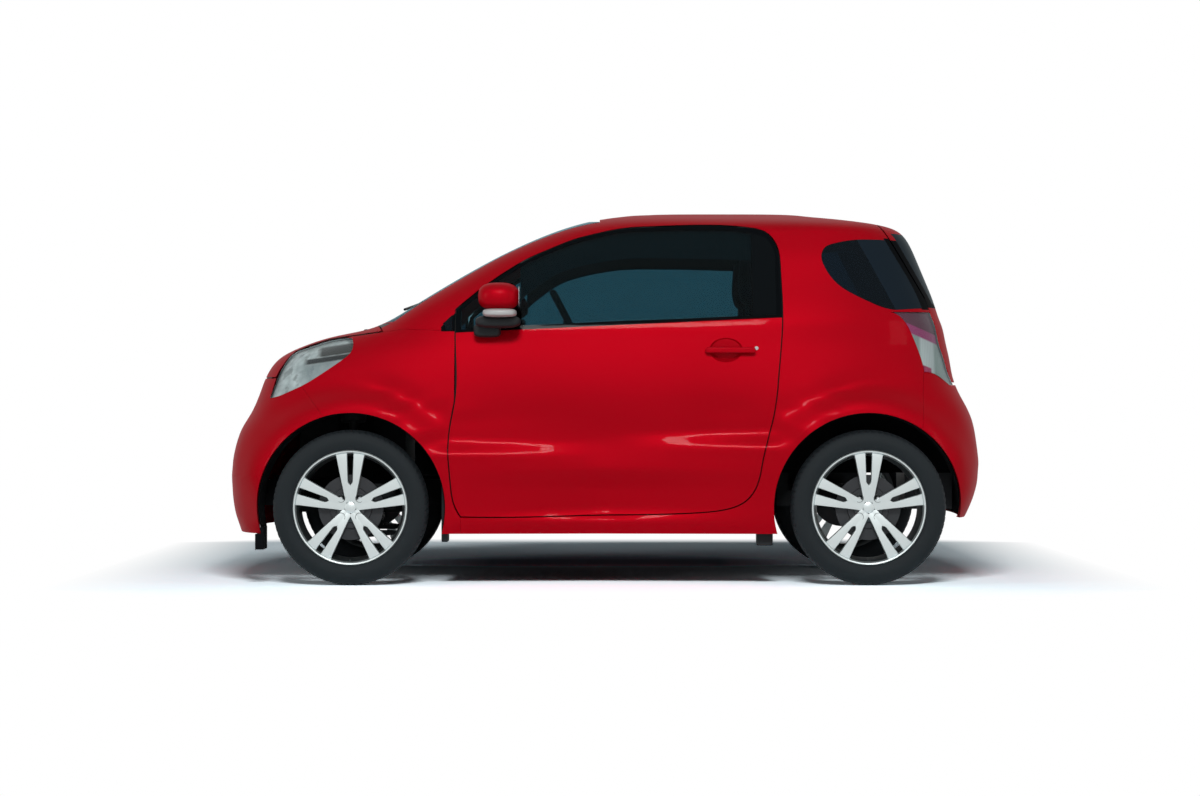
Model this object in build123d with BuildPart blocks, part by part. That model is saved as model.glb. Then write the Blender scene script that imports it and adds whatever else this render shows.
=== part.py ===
from build123d import *
from build123d.topology import SkipClean
import math
import os
import numpy as np

# Three-door city car, in millimetres. +Z is up, the car faces -X and its left side is at -Y.
# The origin is on the ground, midway along the car's length and on its centre plane.

# ---- driving dimensions: the whole car ----
wheelbase = 2000.0
front_overhang = 517.0
rear_overhang = 484.0
track = 1480.0
half_width = 798.0  # at the waist crease, without the arch flares
flare = 42.0  # how far the arch lips stand out from the sides
hollow = 13.0  # depth of the hollows above the wheel arches
scoop_depth = 21.0  # depth of the shallow scoop along the door
undercut = 27.0  # how far the door's foot lies back below its lower crease
bow = 24.0  # how far nose and tail have curved back at bow_width from the centre plane
bow_width = 450.0
arch_radius = 366.0
arch_lip = 42.0  # width of the lip's flat band
floor_z = 215.0
sill_z = 207.0
belt_z = 1005.0
roof_z = 1463.0

# ---- driving dimensions: wheels ----
tyre_radius = 300.0
tyre_width = 175.0
rim_radius = 216.0
rim_width = 158.0
spindle_radius = 20.0
spindle_clearance = 0.05
steer_offset = 55.0  # the steering axis lies this far inboard of the tyre's centre plane
steer_well = 468.0  # the front wheel houses end here, measured from the centre plane
rear_well = 585.0

# ---- driving dimensions: panels, gaps and walls ----
shut_gap = 5.0  # round every door and lid
seam = 0.4  # between bolted panels
skin = 28.0  # thickness of bonnet, wings and bumpers
door_wall = 118.0  # thickness of doors and sills below the glass
upper_wall = 46.0  # thickness of the window frames
glass_wall = 5.0
door_step = 16.0  # the door's inner half is this much smaller all round

# ---- places worked out from the sizes above ----
nose_x = -(front_overhang + wheelbase + rear_overhang) / 2
tail_x = -nose_x
front_x = nose_x + front_overhang
rear_x = front_x + wheelbase
wheel_z = tyre_radius
wheel_y = track / 2
kingpin_y = wheel_y - steer_offset
far = 2000.0  # beyond any surface of the car
os.makedirs("parts", exist_ok=True)


def front(dx):
    return front_x + dx


def rear(dx):
    return rear_x + dx


# Body levels from the sills to the roof's crown. Each row: setback of the front point from the
# nose, its height, tuck-in of the side, setback of the rear point from the tail, its height,
# and how square the plan is at the front and at the rear.
body_levels = [
    (39, sill_z - 9, 46, 96, sill_z - 9, 10.0, 10.0),
    (23, sill_z + 37, 33, 58, sill_z + 47, 10.0, 10.0),
    (11, sill_z + 83, 26, 30, sill_z + 103, 10.0, 10.0),
    (4, sill_z + 138, 21, 13, sill_z + 150, 10.0, 10.0),
    (0, sill_z + 193, 17, 4, sill_z + 193, 10.0, 10.0),
    (3, sill_z + 243, 13, 1, sill_z + 233, 10.0, 10.0),
    (9, sill_z + 293, 10, 0, sill_z + 273, 9.5, 10.0),
    (35, sill_z + 383, 4, 10, sill_z + 353, 8.0, 9.0),
    (77, sill_z + 453, 0, 32, sill_z + 443, 6.5, 7.5),
    (117, belt_z - 270, 0, 84, belt_z - 270, 5.3, 6.2),
    (148, belt_z - 190, 4, 112, belt_z - 205, 4.5, 5.2),
    (192, belt_z - 128, 12, 124, belt_z - 125, 4.2, 4.7),
    (275, belt_z - 82, 20, 136, belt_z - 65, 4.2, 4.5),
    (417, belt_z - 37, 28, 149, belt_z - 5, 4.5, 4.5),
    (587, belt_z, 38, 166, belt_z + 40, 6.0, 4.5),
    (748, roof_z - 373, 65, 188, roof_z - 349, 8.0, 4.5),
    (912, roof_z - 273, 102, 222, roof_z - 263, 8.0, 4.5),
    (1074, roof_z - 183, 138, 259, roof_z - 173, 8.0, 4.5),
    (1237, roof_z - 105, 180, 304, roof_z - 93, 7.0, 4.5),
    (1399, roof_z - 45, 243, 394, roof_z - 51, 5.0, 4.2),
    (1545, roof_z - 13, 440, 575, roof_z - 21, 4.0, 4.0),
    (1660, roof_z, 620, 740, roof_z, 3.5, 3.5),
]
level_table = np.array(body_levels, dtype=float)
ring_levels = np.linspace(0.0, 21.0, 42)
ring_shares = np.concatenate([np.linspace(0.0, 0.3, 16)[:-1], np.linspace(0.3, 0.7, 17), np.linspace(0.7, 1.0, 16)[1:]])


def spline_at(values, at):
    # natural cubic spline through one value per level
    count = len(values)
    matrix = np.eye(count)
    right = np.zeros(count)
    for i in range(1, count - 1):
        matrix[i, i - 1 : i + 2] = (1.0, 4.0, 1.0)
        right[i] = 3.0 * (values[i + 1] - 2.0 * values[i] + values[i - 1])
    bend = np.linalg.solve(matrix, right)
    i = min(int(at), count - 2)
    d = at - i
    slope = values[i + 1] - values[i] - (2.0 * bend[i] + bend[i + 1]) / 3.0
    return values[i] + slope * d + bend[i] * d**2 + (bend[i + 1] - bend[i]) / 3.0 * d**3


def smooth_step(value, low, high):
    t = np.clip((value - low) / (high - low), 0.0, 1.0)
    return t * t * (3.0 - 2.0 * t)


def side_relief(x, z):
    # how far the side stands out (+) or lies back (-) from the plain body
    out = np.zeros_like(x)
    for axle in (front_x, rear_x + 40.0):
        reach = np.hypot(x - axle, z - wheel_z) - arch_radius
        above = smooth_step(z, belt_z - 385, belt_z - 300) * (1.0 - smooth_step(np.abs(x - axle), 130.0, 300.0))
        out = out - hollow * above * np.exp(-(((reach - 112.0) / 46.0) ** 2))
    for axle in (front_x, rear_x):
        reach = np.hypot(x - axle, z - wheel_z) - arch_radius
        out = out + flare * (1.0 - smooth_step(reach, arch_lip * 0.5, arch_lip + 70.0))
    scoop = smooth_step(x, front(430), front(620)) * (1.0 - smooth_step(x, rear(-560), rear(-370)))
    out = out - scoop_depth * scoop * np.exp(-(((z - belt_z + 425.0) / 95.0) ** 2))
    crease = sill_z + 92.0 + 166.0 * (1.0 - np.exp(-np.maximum(x - front(443), 0.0) / 205.0))
    length = smooth_step(x, front(400), front(500)) * (1.0 - smooth_step(x, rear(-500), rear(-380)))
    under = smooth_step(crease - z, 0.0, 90.0) * smooth_step(z, sill_z + 30, sill_z + 90)
    return out - undercut * length * under


def ring_points(level, side_in, nose_in, tail_in, drop):
    # half a ring of the body, from the nose point round the left side to the tail point
    front_in, front_z, tuck, rear_in, rear_z, sharp_front, sharp_rear = [
        spline_at(level_table[:, k], level) for k in range(7)
    ]
    start = nose_x + front_in + nose_in
    end = tail_x - rear_in - tail_in
    reach = max(half_width - tuck - side_in, 25.0)
    corner = np.sin(np.linspace(0.0, math.pi / 2.0, 160)) ** 1.3
    c = np.concatenate([-((1.0 - corner**sharp_front) ** (1.0 / sharp_front)), (1.0 - corner[-2::-1] ** sharp_rear) ** (1.0 / sharp_rear)])
    s = np.concatenate([corner, corner[-2::-1]])
    x = (start + end) / 2.0 + (end - start) / 2.0 * c
    bend = bow * (reach * s / bow_width) ** 2 * (1.0 - float(smooth_step(level, 7.5, 10.0)))
    x = x + bend * (1.0 - smooth_step(x, nose_x, front(-100)))
    x = x - bend * smooth_step(x, rear(100), tail_x)
    z = front_z + (rear_z - front_z) * (x - start) / (end - start) - drop
    y = -reach * s - side_relief(x, z) * s**2
    travel = np.concatenate([[0.0], np.cumsum(np.hypot(np.diff(x), np.diff(y)))])
    x, y, z = [np.interp(ring_shares * travel[-1], travel, row) for row in (x, y, z)]
    return [Vector(float(a), float(b), float(d)) for a, b, d in zip(x, y, z)]


def body_half(side_in=0.0, nose_in=0.0, tail_in=0.0, drop=0.0, below=0.0, roof_in=0.0, first=0):
    # the left half of the body as a solid, drawn in by the given amounts
    # the inner surfaces stop one ring short, so the roof is a little thicker at its crown
    levels = ring_levels[first:-1] if drop else ring_levels
    with BuildPart() as half:
        for level in levels:
            fade = float(smooth_step(level, 13.0, 19.5))
            lower = drop * fade + below * float(1.0 - smooth_step(level, 0.0, 3.0))
            inward = side_in + (roof_in - side_in) * float(smooth_step(level, 11.0, 15.5))
            points = ring_points(level, inward, nose_in, tail_in, lower)
            run = (points[-1] - points[0]).normalized()
            plane = Plane(origin=points[0], x_dir=run, z_dir=run.cross(Vector(0, 1, 0)))
            with BuildSketch(plane):
                local = [plane.to_local_coords(p) for p in points]
                with BuildLine():
                    add(Edge.make_spline(local, parameters=list(ring_shares)))
                    Line(local[-1], local[0])
                make_face()
        loft()
    return half.part


# ---- outlines, drawn on Plane.XZ: x runs back along the car and y is the height ----
def moved_in(loop, amount):
    # each point of a closed loop moved square to its two edges, towards the loop's inside
    points = np.array(loop)
    ahead = np.roll(points, -1, axis=0) - points
    ahead = ahead / np.linalg.norm(ahead, axis=1)[:, None]
    behind = np.roll(ahead, 1, axis=0)
    turn = np.sum(points[:, 0] * np.roll(points[:, 1], -1) - points[:, 1] * np.roll(points[:, 0], -1))
    inward = np.sign(turn) * np.stack([-ahead[:, 1] - behind[:, 1], ahead[:, 0] + behind[:, 0]], 1)
    stretch = 1.0 + np.sum(ahead * behind, axis=1)
    return points + amount * inward / np.maximum(stretch, 0.5)[:, None]


def closed_sketch(stretches, inset=0.0, plane=Plane.XZ):
    # a face bounded by curves that follow one another, each a list of points; two points make
    # a straight line
    loop = [point for stretch in stretches for point in stretch[:-1]]
    moved = [tuple(point) for point in moved_in(loop, inset).tolist()]
    moved.append(moved[0])
    with BuildSketch(plane) as shape:
        with BuildLine():
            at = 0
            for stretch in stretches:
                points = moved[at : at + len(stretch)]
                at += len(stretch) - 1
                if len(points) == 2:
                    Line(*points)
                else:
                    Spline(*points)
        make_face()
    return shape.sketch


def straight_sides(points):
    return [[a, b] for a, b in zip(points, points[1:] + points[:1])]


def side_cut(stretches, inset=0.0, inner=0.0):
    # a block through the car's left side with the given outline
    outline = closed_sketch(stretches, inset, Plane.XZ.offset(inner))
    with BuildPart() as block:
        extrude(outline, amount=far / 2 - inner, dir=(0, -1, 0))
    return block.part


door_edges = [
    [
        (front(402), belt_z + 63), (front(401), belt_z - 78), (front(400), belt_z - 290),
        (front(382), belt_z - 386), (front(374), sill_z + 316), (front(382), sill_z + 200),
        (front(397), sill_z + 104), (front(424), sill_z + 54),
    ],
    [
        (front(424), sill_z + 54), (front(578), sill_z + 52), (front(963), sill_z + 60),
        (rear(-651), sill_z + 70), (rear(-553), sill_z + 82), (rear(-473), sill_z + 115),
        (rear(-425), sill_z + 185), (rear(-407), sill_z + 269), (rear(-386), sill_z + 354),
        (rear(-362), belt_z - 348), (rear(-340), belt_z - 160), (rear(-328), belt_z - 8),
        (rear(-327), belt_z + 80), (rear(-332), roof_z - 240), (rear(-345), roof_z - 145),
        (rear(-385), roof_z - 92), (rear(-450), roof_z - 72), (rear(-647), roof_z - 61),
        (rear(-842), roof_z - 67), (rear(-959), roof_z - 76), (front(963), roof_z - 92),
        (front(846), roof_z - 124), (front(769), roof_z - 156), (front(691), roof_z - 190),
        (front(614), roof_z - 234), (front(537), roof_z - 286), (front(459), roof_z - 346),
        (front(402), belt_z + 63),
    ],
]
lamp_edges = [
    [
        (front(-327), belt_z - 283), (front(-315), belt_z - 251), (front(-296), belt_z - 193),
        (front(-268), belt_z - 138), (front(-241), belt_z - 107), (front(-183), belt_z - 84),
        (front(-105), belt_z - 60), (front(-28), belt_z - 49), (front(-4), belt_z - 49),
    ],
    [
        (front(-4), belt_z - 49), (front(2), belt_z - 64), (front(-4), belt_z - 103),
        (front(-28), belt_z - 127), (front(-66), belt_z - 154), (front(-125), belt_z - 193),
        (front(-183), belt_z - 228), (front(-241), belt_z - 255), (front(-300), belt_z - 278),
        (front(-327), belt_z - 283),
    ],
]
bonnet_edges = straight_sides([
    (front(-700), belt_z - 205), (front(-306), belt_z - 205), (front(-292), belt_z - 176),
    (front(-262), belt_z - 128), (front(-235), belt_z - 100), (front(-183), belt_z - 79),
    (front(-105), belt_z - 55), (front(-28), belt_z - 44), (front(40), belt_z - 36),
    (front(140), belt_z - 22), (front(140), roof_z), (front(-700), roof_z),
])
bumper_edges = straight_sides([
    (front(-700), 0), (front(-100), 0), (front(-100), sill_z + 440), (front(-198), belt_z - 236),
    (front(-241), belt_z - 255), (front(-327), belt_z - 283), (front(-306), belt_z - 205),
    (front(-700), belt_z - 205),
])
wing_edges = straight_sides([
    (front(-100), 0), (front(424), 0), (front(424), sill_z + 54), (front(397), sill_z + 104),
    (front(382), sill_z + 200), (front(374), sill_z + 316), (front(382), belt_z - 386),
    (front(400), belt_z - 290), (front(401), belt_z - 20), (front(340), belt_z - 20),
    (front(200), belt_z - 14), (front(140), belt_z - 22), (front(40), belt_z - 36),
    (front(-28), belt_z - 44), (front(-4), belt_z - 49), (front(2), belt_z - 64),
    (front(-4), belt_z - 103), (front(-66), belt_z - 154), (front(-198), belt_z - 236),
    (front(-100), sill_z + 440),
])
quarter_light_edges = straight_sides([
    (front(354), belt_z + 6), (front(368), belt_z - 21), (front(391), belt_z - 19),
    (front(391), belt_z + 41),
])
door_window_edges = [
    [
        (front(424), belt_z - 17), (front(576), belt_z - 6), (front(809), belt_z + 5),
        (rear(-959), belt_z + 17), (rear(-727), belt_z + 25), (rear(-495), belt_z + 36),
        (rear(-352), belt_z + 40),
    ],
    [(rear(-352), belt_z + 40), (rear(-354), roof_z - 220)],
    [
        (rear(-354), roof_z - 220), (rear(-364), roof_z - 150), (rear(-394), roof_z - 112),
        (rear(-450), roof_z - 95), (rear(-647), roof_z - 83), (rear(-842), roof_z - 87),
        (rear(-959), roof_z - 95), (front(963), roof_z - 110), (front(846), roof_z - 142),
        (front(769), roof_z - 173), (front(691), roof_z - 209), (front(614), roof_z - 254),
        (front(537), roof_z - 307), (front(459), roof_z - 370), (front(424), belt_z + 58),
    ],
    [(front(424), belt_z + 58), (front(424), belt_z - 17)],
]
quarter_glass_edges = [
    [
        (rear(82), belt_z + 339), (rear(17), belt_z + 339), (rear(-61), belt_z + 335),
        (rear(-120), belt_z + 323), (rear(-158), belt_z + 307), (rear(-174), belt_z + 272),
        (rear(-166), belt_z + 237), (rear(-139), belt_z + 190), (rear(-100), belt_z + 151),
        (rear(-41), belt_z + 116), (rear(17), belt_z + 89), (rear(76), belt_z + 67),
        (rear(120), belt_z + 61),
    ],
    [(rear(120), belt_z + 61), (rear(226), belt_z + 69)],
    [(rear(226), belt_z + 69), (rear(206), belt_z + 120), (rear(140), belt_z + 240), (rear(82), belt_z + 339)],
]
tail_lamp_edges = [
    [
        (rear(94), belt_z + 53), (rear(153), belt_z + 14), (rear(180), belt_z - 36),
        (rear(204), belt_z - 95), (rear(219), belt_z - 142), (rear(227), belt_z - 181),
    ],
    [(rear(227), belt_z - 181), (rear(270), belt_z - 188), (rear(309), belt_z - 212), (rear(332), belt_z - 231)],
    [(rear(332), belt_z - 231), (rear(600), belt_z - 231)],
    [(rear(600), belt_z - 231), (rear(600), belt_z + 57)],
    [(rear(600), belt_z + 57), (rear(94), belt_z + 53)],
]
rear_bumper_edges = straight_sides([
    (rear(205), 0), (rear(700), 0), (rear(700), belt_z - 231), (rear(332), belt_z - 231),
    (rear(309), belt_z - 212), (rear(270), belt_z - 188), (rear(224), belt_z - 182),
    (rear(205), sill_z + 353),
])
tailgate_edges = straight_sides([
    (rear(60), roof_z + 60), (rear(60), roof_z - 60), (rear(93), belt_z + 350),
    (rear(262), belt_z + 69), (rear(700), belt_z + 69), (rear(700), roof_z + 60),
])
lower_tailgate_half = 525.0  # half-width of the tailgate between the tail lamps
windscreen_base_half = 612.0
windscreen_top_half = 500.0
roof_half = 500.0
roof_front = front(962)
roof_rear = rear(60)


def tailgate_block(inset):
    upper = side_cut(tailgate_edges, inset)
    with BuildPart() as block:
        add(upper)
        with BuildSketch(Plane.YZ.offset(rear(200))):
            with Locations((-(lower_tailgate_half - inset) / 2, 0)):
                with Locations((0, belt_z - 225 + inset)):
                    Rectangle(lower_tailgate_half - inset, 340 - 2 * inset, align=(Align.CENTER, Align.MIN))
        extrude(amount=far)
    return block.part


def windscreen_block(inset):
    base = belt_z + 10 + inset
    top = roof_z - 21 - inset
    with BuildPart() as block:
        with BuildSketch(Plane.YZ.offset(-far)):
            with BuildLine():
                Polyline(
                    (0, base), (inset - windscreen_base_half, base + 6), (inset - windscreen_top_half, top - 25),
                    (0, top), (0, base),
                )
            make_face()
        extrude(amount=far + roof_front - inset)
    return block.part


def cowl_block(inset):
    edges = straight_sides([
        (front(-40), belt_z - 36), (front(40), belt_z - 36), (front(140), belt_z - 22),
        (front(200), belt_z - 14), (front(420), belt_z - 14), (front(420), belt_z + 10),
        (front(-40), belt_z + 10),
    ])
    with BuildPart() as block:
        add(side_cut(edges, inset))
        with BuildSketch(Plane.XY):
            with Locations((front(0), inset - windscreen_base_half)):
                Rectangle(far, windscreen_base_half, align=(Align.CENTER, Align.MIN))
        extrude(amount=far, mode=Mode.INTERSECT)
    return block.part


def roof_block(inset):
    with BuildPart() as block:
        with BuildSketch(Plane.XY.offset(belt_z + 200)):
            with Locations(((roof_front + roof_rear) / 2, -roof_half / 2)):
                Rectangle(roof_rear - roof_front - 2 * inset, roof_half - 2 * inset)
            with Locations(((roof_front + roof_rear) / 2, -roof_half / 4)):
                Rectangle(roof_rear - roof_front - 2 * inset, roof_half / 2)
        extrude(amount=far)
    return block.part


def bonnet_plan_block(gap):
    # everything ahead of the bonnet's rear edge
    with BuildPart() as block:
        with BuildSketch(Plane.XY):
            with BuildLine():
                Polyline(
                    (front(58) - gap, 0), (nose_x - 100, 0), (nose_x - 100, -far / 2), (front(120) - gap, -far / 2),
                    (front(120) - gap, -690),
                )
                Spline((front(120) - gap, -690), (front(86) - gap, -470), (front(58) - gap, 0))
            make_face()
        extrude(amount=far)
    return block.part


def well(radius, axle, inner):
    with BuildPart() as drum:
        with BuildSketch(Plane.XZ.offset(inner)):
            with Locations((axle, wheel_z)):
                Circle(radius)
        extrude(amount=far / 2 - inner)
    return drum.part


outer = body_half()
lining = body_half(skin, skin, skin, skin * 0.9, 0.0, skin)
cabin_lining = body_half(door_wall, 150.0, upper_wall, 34.0, 0.0, upper_wall)
trim_lining = body_half(skin + seam, skin + seam, skin + seam, skin * 0.9 + seam, 0.0, skin + seam)
glass_lining = body_half(glass_wall, glass_wall, glass_wall, glass_wall, 0.0, glass_wall, 22)
skin_shell = outer - lining
glass_shell = outer - glass_lining
wall_shell = outer - cabin_lining
front_well = well(arch_radius, front_x, steer_well)
rear_arch = well(arch_radius, rear_x, rear_well)


def both_sides(half, name):
    # a centre piece from its left half
    with BuildPart() as whole:
        add(half)
        mirror(about=Plane.XZ)
    whole.part.label = name
    export_step(whole.part, f"parts/{name}.step")


def left_and_right(left, name):
    right = mirror(left, about=Plane.XZ)
    left.label = name + "_left"
    right.label = name + "_right"
    export_step(left, f"parts/{name}_left.step")
    export_step(right, f"parts/{name}_right.step")


def largest(part):
    # the main solid of a cut, without the slivers beside it
    with BuildPart() as kept:
        add(part.solids().sort_by(SortBy.VOLUME)[-1])
    return kept.part


def with_seams(part, planes):
    # the same solid, its long faces divided where the planes cross it, so that meshes follow them closely
    pieces = list(part.solids())
    for plane in planes:
        halves = [piece.split(plane, keep=keep) for piece in pieces for keep in (Keep.TOP, Keep.BOTTOM)]
        pieces = []
        for half in halves:
            if half:
                pieces += half if isinstance(half, list) else half.solids()
    joined = pieces[0]
    with SkipClean():
        for piece in pieces[1:]:
            joined = joined + piece
    return joined


def mirrored_with_seams(half, name):
    # a centre piece whose seams stay when its halves are joined
    with SkipClean():
        whole = half + mirror(half, about=Plane.XZ)
    whole.label = name
    export_step(whole, f"parts/{name}.step")


bumper_seams = [Plane.XY.offset(sill_z + 213), Plane.XY.offset(sill_z + 413)]
screen_seams = [Plane.XZ.offset(200), Plane.XZ.offset(400)]


def make_bonnet():
    with BuildPart() as bonnet:
        add(skin_shell)
        add(side_cut(bonnet_edges, shut_gap), mode=Mode.INTERSECT)
        add(bonnet_plan_block(shut_gap / 2), mode=Mode.INTERSECT)
    both_sides(bonnet.part, "bonnet")


def make_front_bumper():
    with BuildPart() as bumper:
        add(skin_shell)
        add(side_cut(bumper_edges, seam), mode=Mode.INTERSECT)
        add(side_cut(lamp_edges, 0.0, 200.0), mode=Mode.SUBTRACT)
        add(front_well, mode=Mode.SUBTRACT)
        with BuildSketch(Plane.YZ.offset(nose_x - 50)):
            with Locations((0, sill_z + 88)):
                RectangleRounded(2 * 430, 96, 30)
        extrude(amount=200, mode=Mode.SUBTRACT)
        with BuildSketch(Plane.XY):
            Rectangle(2 * far, 2 * far)
        extrude(amount=sill_z + 1, mode=Mode.SUBTRACT)
    mirrored_with_seams(with_seams(bumper.part, bumper_seams), "front_bumper")


def make_wings():
    with BuildPart() as wing:
        add(skin_shell)
        add(side_cut(wing_edges, seam), mode=Mode.INTERSECT)
        add(side_cut(door_edges), mode=Mode.SUBTRACT)
        add(side_cut(lamp_edges, 0.0, 200.0), mode=Mode.SUBTRACT)
        add(front_well, mode=Mode.SUBTRACT)
    left_and_right(largest(wing.part), "wing")


def make_headlamps():
    with BuildPart() as lamp:
        add(wall_shell)
        add(side_cut(lamp_edges, seam, 430.0), mode=Mode.INTERSECT)
    left_and_right(largest(lamp.part), "headlamp")


def box_between(low, high):
    # a plain block between two opposite corners
    with BuildPart() as block:
        with BuildSketch(Plane.XY.offset(low[2])):
            with Locations(((low[0] + high[0]) / 2, (low[1] + high[1]) / 2)):
                Rectangle(high[0] - low[0], high[1] - low[1])
        extrude(amount=high[2] - low[2])
    return block.part


def make_side_frames():
    frame = wall_shell
    blocks = (
        bonnet_plan_block(-shut_gap / 2),
        box_between((-far, -far, 0), (front(250), 0, belt_z - 24)),
        side_cut(door_edges),
        roof_block(-seam),
        windscreen_block(-seam),
        cowl_block(-seam),
        tailgate_block(0.0),
        side_cut(tail_lamp_edges, -seam),
        side_cut(rear_bumper_edges, -seam),
        side_cut(quarter_glass_edges),
        side_cut(quarter_light_edges),
        rear_arch,
        side_cut(wing_edges, -seam),
        box_between((-far, -500, 0), (far, 0, belt_z)),
    )
    for block in blocks:
        frame = frame - block
    left_and_right(largest(frame), "side_frame")


handle_x = front(1451)
handle_z = belt_z - 92.0
handle_y = half_width - 12.0  # where the door's skin lies behind the handle
cup_depth = 17.0


def make_handle():
    # the pull bar with its two feet, standing off the door's skin
    with BuildPart() as handle:
        with BuildSketch(Plane.XZ.offset(handle_y + 12)):
            with Locations((handle_x + 16, handle_z - 5)):
                RectangleRounded(194, 22, 10)
        extrude(amount=13)
        fillet(handle.faces().sort_by(Axis.Y)[0].edges(), 5)
        with BuildSketch(Plane.XZ.offset(handle_y - 12)):
            with Locations((handle_x - 70, handle_z - 5), (handle_x + 96, handle_z - 5)):
                RectangleRounded(22, 18, 6)
        extrude(amount=26)
    return handle.part


def make_doors():
    with BuildPart() as door:
        add(skin_shell)
        add(side_cut(door_edges, shut_gap, 200.0), mode=Mode.INTERSECT)
        add(side_cut(door_window_edges, 0.0, 150.0), mode=Mode.SUBTRACT)
        with BuildSketch(Plane.XZ.offset(handle_y - cup_depth)):
            with Locations((handle_x, handle_z)):
                Ellipse(55, 38)
        extrude(amount=40, taper=-38, mode=Mode.SUBTRACT)
        add(make_handle())
    left_and_right(largest(door.part), "door_panel")
    with BuildPart() as trim:
        add(trim_lining)
        add(side_cut(door_edges, shut_gap + door_step, 300.0), mode=Mode.INTERSECT)
        add(cabin_lining, mode=Mode.SUBTRACT)
        add(side_cut(door_window_edges, 0.0, 150.0), mode=Mode.SUBTRACT)
    left_and_right(largest(trim.part), "door_trim")
    with BuildPart() as glass:
        add(glass_shell)
        add(side_cut(door_window_edges, seam), mode=Mode.INTERSECT)
    left_and_right(largest(glass.part), "door_glass")


def make_quarter_glass():
    with BuildPart() as glass:
        add(glass_shell & side_cut(quarter_glass_edges, seam))
        add(glass_shell & side_cut(quarter_light_edges, seam))
    left_and_right(glass.part, "quarter_glass")


def make_tail_lamps():
    with BuildPart() as lamp:
        add(wall_shell)
        add(side_cut(tail_lamp_edges, seam), mode=Mode.INTERSECT)
        add(box_between((-far, -lower_tailgate_half - seam, 0), (far, 0, far)), mode=Mode.SUBTRACT)
    left_and_right(largest(lamp.part), "tail_lamp")


def make_rear_bumper():
    with BuildPart() as bumper:
        add(skin_shell)
        add(side_cut(rear_bumper_edges, seam), mode=Mode.INTERSECT)
        add(rear_arch, mode=Mode.SUBTRACT)
        add(box_between((-far, -far, 0), (far, 0, sill_z + 50)), mode=Mode.SUBTRACT)
        add(tailgate_block(0.0), mode=Mode.SUBTRACT)
    both_sides(largest(bumper.part), "rear_bumper")


rear_glass_edges = straight_sides([
    (rear(108), belt_z + 366), (rear(122), belt_z + 350), (rear(275), belt_z + 90), (rear(700), belt_z + 90),
    (rear(700), belt_z + 366),
])


def make_tailgate():
    with BuildPart() as gate:
        add(wall_shell)
        add(tailgate_block(shut_gap), mode=Mode.INTERSECT)
        add(side_cut(rear_glass_edges), mode=Mode.SUBTRACT)
    both_sides(largest(gate.part), "tailgate_panel")
    with BuildPart() as glass:
        add(glass_shell)
        add(side_cut(rear_glass_edges, seam), mode=Mode.INTERSECT)
    both_sides(largest(glass.part), "tailgate_glass")


def make_roof_and_screen():
    with BuildPart() as roof:
        add(wall_shell)
        add(roof_block(seam), mode=Mode.INTERSECT)
    both_sides(largest(roof.part), "roof_panel")
    with BuildPart() as behind_screen:
        add(glass_lining)
        add(windscreen_block(seam), mode=Mode.INTERSECT)
    with BuildPart() as screen:
        add(outer)
        add(windscreen_block(seam), mode=Mode.INTERSECT)
        add(behind_screen.part, mode=Mode.SUBTRACT)
    mirrored_with_seams(with_seams(largest(screen.part), screen_seams), "windscreen")
    with BuildPart() as cowl:
        add(skin_shell)
        add(cowl_block(seam), mode=Mode.INTERSECT)
        add(bonnet_plan_block(-shut_gap / 2), mode=Mode.SUBTRACT)
    both_sides(largest(cowl.part), "cowl_panel")


# ---- wheels: built with the axle along +Z of the wheel's own plane, outside face up ----
def wheel_plane(axle, side):
    return Plane(origin=(axle, side * wheel_y, wheel_z), x_dir=(1, 0, 0), z_dir=(0, side, 0))


def turned(plane, points):
    # a ring turned about the wheel's axle from points given as (radius, offset outwards)
    profile = Plane(origin=plane.origin, x_dir=plane.x_dir, z_dir=-plane.y_dir)
    with BuildPart() as ring:
        with BuildSketch(profile):
            with BuildLine():
                Polyline(*points, points[0])
            make_face()
        revolve(axis=Axis(plane.origin, plane.z_dir))
    return ring.part


def make_tyre(axle, side, name):
    half = tyre_width / 2
    plane = wheel_plane(axle, side)
    tyre = turned(plane, [
        (rim_radius - 3, half - 18), (rim_radius + 34, half), (tyre_radius - 30, half - 3),
        (tyre_radius - 6, half - 17), (tyre_radius, half - 34), (tyre_radius, 34 - half),
        (tyre_radius - 6, 17 - half), (tyre_radius - 30, 3 - half), (rim_radius + 34, -half),
        (rim_radius - 3, 18 - half),
    ])
    tyre.label = name
    export_step(tyre, f"parts/{name}.step")


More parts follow.
